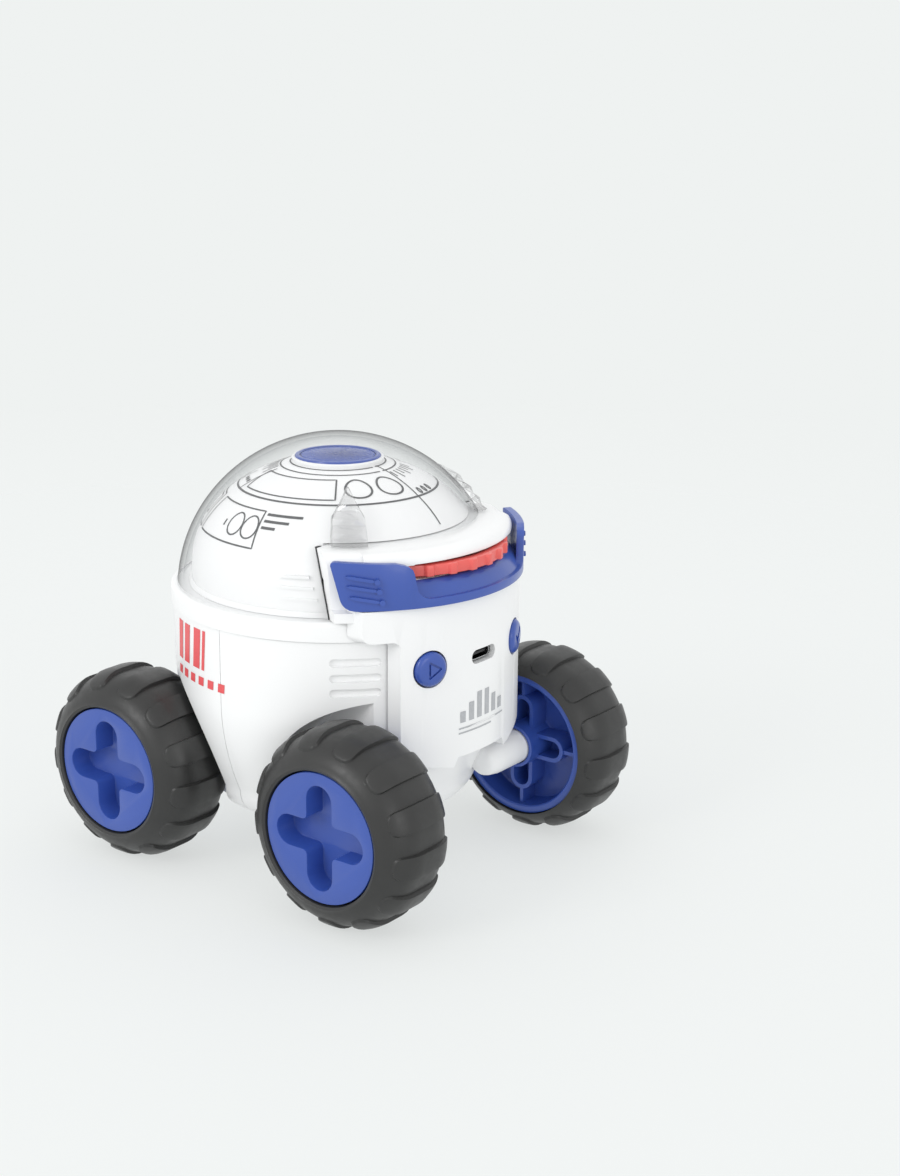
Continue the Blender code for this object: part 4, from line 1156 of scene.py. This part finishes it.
def dome_print():
    """Control-panel line work round the inner dome."""
    bm = bmesh.new()
    thin, thick = 0.00050, 0.00066

    def line(points, width=thin):
        ribbon(bm, points, width)

    def loop(points, width=thin):
        ribbon(bm, points, width, closed=True)

    for z in (120.1, 119.3):
        loop([(a, z) for a in range(0, 360, 4)])
    line([(a, 113.4) for a in range(-150, 43, 3)], thick)
    line([(a, 113.4) for a in range(43, 211, 3)], thick)
    loop([(-126, 118.2), (-51, 118.5), (-51.5, 114.5), (-120, 114.4)])
    for azimuth in (-35.7, -11.5):
        loop(oval(azimuth, 116.6, 3.9, 4.2, count=36), thick)
    line([(5, 121.2), (2.5, 117), (1.5, 113.4), (1.2, 106.2)])
    for azimuth in (7.3, 12.8, 18.5):
        loop(oval(azimuth, 114.4, 0.55, 1.1, count=14), thick)
    for i in range(7):
        line([(6 + 6 * i, 118.9), (6 + 6 * i, 117.4 if i % 2 else 117.9)])
    for start, end in ((-128, -88), (-178.5, -134), (133.5, 177.0)):
        loop([(start, 110.8), (end, 110.9), (end + 1.2, 101.6), (start - 1.2, 101.6)])
    for azimuth in (-92.3, -101.6):
        loop(oval(azimuth, 106.6, 2.9, 3.7, count=32))
    line([(-109.3, 105.4), (-109.3, 107.0)], thick)
    for length, z in ((19.3, 110.3), (13.2, 108.7), (7.2, 107.1)):
        line([(-86.0, z), (-86.0 + length, z)], 0.0009)
    loop([(184, 109.8), (222, 109.9), (222, 104.8), (184.3, 104.7)])
    for azimuth in (186.1, 189.6, 193.1):
        loop(oval(azimuth, 103.1, 0.7, 0.8, count=16), thick)
    for z in (108.4, 106.0, 103.8):
        line([(139.5, z), (159.3, z + 0.2)], 0.0007)
    loop([(161, 109.9), (175, 109.9), (175.6, 102.6), (162, 102.6)])
    line([(237, 118.8), (235, 116.5), (234, 113.5)])
    for azimuth in (221.0, 225.8, 230.6):
        loop(oval(azimuth, 115.2, 0.45, 0.45, count=12), thick)
    for i in range(15):
        azimuth = 213.8 - 5.6 * i
        line([(azimuth, 113.6), (azimuth, 116.6 if i % 2 == 0 else 115.3)])
    for i in range(19):
        azimuth = 229 - 4.6 * i
        line([(azimuth, 119.1), (azimuth, 118.0 if i % 2 else 117.3)])
    loop([(60, 118.4), (118, 118.4), (120, 114.5), (62, 114.5)])
    loop([(66, 110.8), (122, 110.8), (123, 101.6), (65, 101.6)])
    for azimuth in (74, 83):
        loop(oval(azimuth, 106.4, 2.6, 3.4, count=32))
    for z in (108.8, 106.6, 104.4):
        line([(94, z), (114, z)], 0.0006)
    made = from_bmesh("dome_print", bm)
    finish_piece(made, LINE_INK, "chassis", "black_plastic")


def badge(name, side):
    """A plain mark on the body's side: four leaning blocks over a row of dashes."""
    bm = bmesh.new()

    def spot(azimuth, z, lift):
        return wall_point(azimuth, z, lift, BODY_R)

    def block(start, end, low, high):
        """Azimuths of the foot's rear and front ends; the sides lean back towards the top."""
        lean = 0.10 * (high - low)
        steps = [start + (end - start) * i / 8 for i in range(9)]
        outline = [(side * a, low) for a in steps] + [(side * (a - lean), high) for a in reversed(steps)]
        patch(bm, outline, spot)

    block(121.5, 117.5, 64.4, 76.4)
    block(115.6, 111.5, 64.4, 76.4)
    block(108.6, 104.4, 64.4, 76.6)
    block(103.2, 101.6, 64.4, 76.6)
    for i in range(6):
        block(121.5 - 5.4 * i, 118.4 - 5.4 * i, 59.6 - 0.02 * i, 62.2)
    made = from_bmesh(name, bm)
    finish_piece(made, CORAL_INK, "chassis", "coral_plastic")


def bib_mark():
    """A grey mark low on the bib: rising bars over two fine lines."""
    bm = bmesh.new()

    def spot(azimuth, z, lift):
        return wall_point(azimuth, z, lift, BIB_R)

    def bar(start, end, low, high):
        steps = [start + (end - start) * i / 6 for i in range(7)]
        patch(bm, [(a, low) for a in steps] + [(a, high) for a in reversed(steps)], spot)

    for i, height in enumerate((3.4, 5.6, 8.0, 8.0, 5.6, 3.4)):
        start = -10.6 + 3.7 * i
        bar(start, start + 2.2, 51.6, 51.6 + height)
    bar(-11.2, 11.2, 49.6, 50.1)
    bar(-11.2, 4.0, 48.2, 48.7)
    made = from_bmesh("bib_mark", bm)
    finish_piece(made, GREY_INK, "chassis", "black_plastic")


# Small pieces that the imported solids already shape


def socket():
    """The charging socket's dark collar, throat and blade, and its steel shell."""
    height = PORT_Z + 0.0001
    collar = facing("socket_collar", rounded(0.0105, 0.0034, 0.0016), 0.0440, 0.0531, height)
    cut(collar, facing("socket_mouth", rounded(0.0083, 0.0026, 0.0012), 0.0480, 0.0600, height))
    join(collar, facing("socket_blade", rounded(0.0066, 0.0007, 0.0003), 0.0440, 0.0527, height))
    finish_piece(collar, BLACK, "chassis", "black_plastic", "charging_socket")
    shell_ring = facing("socket_shell", rounded(0.0088, 0.0031, 0.0015), 0.0490, 0.0534, height)
    cut(shell_ring, facing("socket_shell_room", rounded(0.0083, 0.0026, 0.0012), 0.0480, 0.0600, height))
    finish_piece(shell_ring, STEEL, "chassis", "steel")


def dress():
    """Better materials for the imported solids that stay."""
    skins = {
        "battery": FOIL, "battery_tray": BLACK, "circuit_board": BOARD,
        "condenser_lens": FILM, "deck_plate": WHITE, "disc_pin": STEEL,
        "lamp_board": BOARD, "lamp_led": FILM, "left_switch": BLACK,
        "right_switch": BLACK, "lens_tube": BLACK, "picture_film": FILM,
        "speaker": BLACK,
    }
    for name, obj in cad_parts.items():
        if name.startswith("base_screw") or name.endswith(("axle", "axle_nut")):
            skins[name] = STEEL
        if name in skins:
            for slot in obj.material_slots:
                slot.material = skins[name]


# Floor, light and camera


FLOOR_FADE = (0.30, 0.75)  # the floor turns into the plain background between these distances


def studio():
    floor = bpy.data.meshes.new("floor")
    span = 3.0
    corners = [(-span, -span, 0), (span, -span, 0), (span, span, 0), (-span, span, 0)]
    floor.from_pydata(corners, [], [(0, 1, 2, 3)])
    ground = placed("floor", floor)
    made, tree, bsdf = shader_of("studio_floor")
    tone = spread(tree, noise(tree, 1.5, 1.0), 0.0, 1.0)
    tree.links.new(shades(tree, tone, (0.26, 0.266, 0.265), (0.265, 0.271, 0.27)), bsdf.inputs["Base Color"])
    bsdf.inputs["Roughness"].default_value = 0.8
    bsdf.inputs["Specular IOR Level"].default_value = 0.1
    bsdf.inputs["Emission Color"].default_value = (0.975, 1.0, 0.992, 1)
    bsdf.inputs["Emission Strength"].default_value = 0.60
    where = node(tree, "ShaderNodeTexCoord").outputs["Object"]
    apart = node(tree, "ShaderNodeVectorMath", ((0, where),), operation="LENGTH").outputs["Value"]
    fade = spread(tree, apart, 0.0, 1.0, *FLOOR_FADE)
    clear_floor = node(tree, "ShaderNodeBsdfTransparent")
    mixed = node(tree, "ShaderNodeMixShader", ((0, fade), (1, bsdf.outputs[0]), (2, clear_floor.outputs[0])))
    tree.links.new(mixed.outputs[0], tree.nodes["Material Output"].inputs["Surface"])
    floor.materials.append(made)
    world = bpy.data.worlds.new("studio")
    bpy.context.scene.world = world
    world.use_nodes = True
    tree = world.node_tree
    plain = tree.nodes["Background"]
    plain.inputs["Color"].default_value = (0.863, 0.887, 0.879, 1)
    tent = node(tree, "ShaderNodeBackground")
    where = node(tree, "ShaderNodeTexCoord").outputs["Generated"]
    height = node(tree, "ShaderNodeSeparateXYZ", ((0, where),)).outputs["Z"]
    glow = spread(tree, height, 0.0, 1.0, -0.05, 0.75)
    tree.links.new(shades(tree, glow, (0.97, 0.98, 0.98), (0.98, 0.99, 0.99)), tent.inputs["Color"])
    seen = node(tree, "ShaderNodeLightPath").outputs["Is Camera Ray"]
    both = node(tree, "ShaderNodeMixShader", ((0, seen), (1, tent.outputs[0]), (2, plain.outputs[0])))
    tree.links.new(both.outputs[0], tree.nodes["World Output"].inputs["Surface"])
    centre = Vector((0, 0, 0.06))
    for name, place, size, power in (
        ("key", (-1.2, 0.25, 0.75), 0.6, 4.6),
        ("front", (-0.5, -1.3, 0.4), 0.7, 1.9),
        ("back", (0.9, 0.8, 1.0), 0.7, 0.6),
    ):
        lamp = bpy.data.lights.new(name, "AREA")
        lamp.shape = "DISK"
        lamp.size = size
        lamp.energy = power
        obj = placed(name, lamp)
        obj.location = place
        obj.rotation_mode = "QUATERNION"
        obj.rotation_quaternion = (centre - Vector(place)).to_track_quat("-Z", "Y")
    view = bpy.context.scene.view_settings
    view.view_transform = "Standard"
    view.look = "None"


def camera():
    """Round to the left by 53 degrees and 16 above, with a slight roll."""
    lens = bpy.data.cameras.new("camera")
    lens.lens = 59.615
    lens.sensor_width = 36
    lens.clip_start = 0.01
    obj = placed("camera", lens)
    azimuth, elevation, roll = radians(-53.01), radians(15.94), radians(0.44)
    back = Vector((sin(azimuth) * cos(elevation), -cos(azimuth) * cos(elevation), sin(elevation)))
    right = Vector((cos(azimuth), sin(azimuth), 0))
    up = back.cross(right)
    turned_right = right * cos(roll) + up * sin(roll)
    turned_up = up * cos(roll) - right * sin(roll)
    distance, across, above = 0.59954, 0.03397, 0.01958
    middle = Vector((0, AXIS_Y, 0.060))
    spot = middle + back * distance + turned_right * across + turned_up * above
    matrix = Matrix((turned_right, turned_up, back)).transposed().to_4x4()
    matrix.translation = spot
    obj.matrix_world = matrix
    bpy.context.scene.camera = obj


camera()
studio()
shells()
rear_hatch()
top_ring()
base_cover()
console()
visor()
buttons()
domes()
crystal("left_dome_rib", -1)
crystal("right_dome_rib", 1)
dome_edge_shade()
cap_ridges()
lens()
picture_wheel()
wheels()
dome_print()
badge("left_badge", -1)
badge("right_badge", 1)
bib_mark()
socket()
dress()
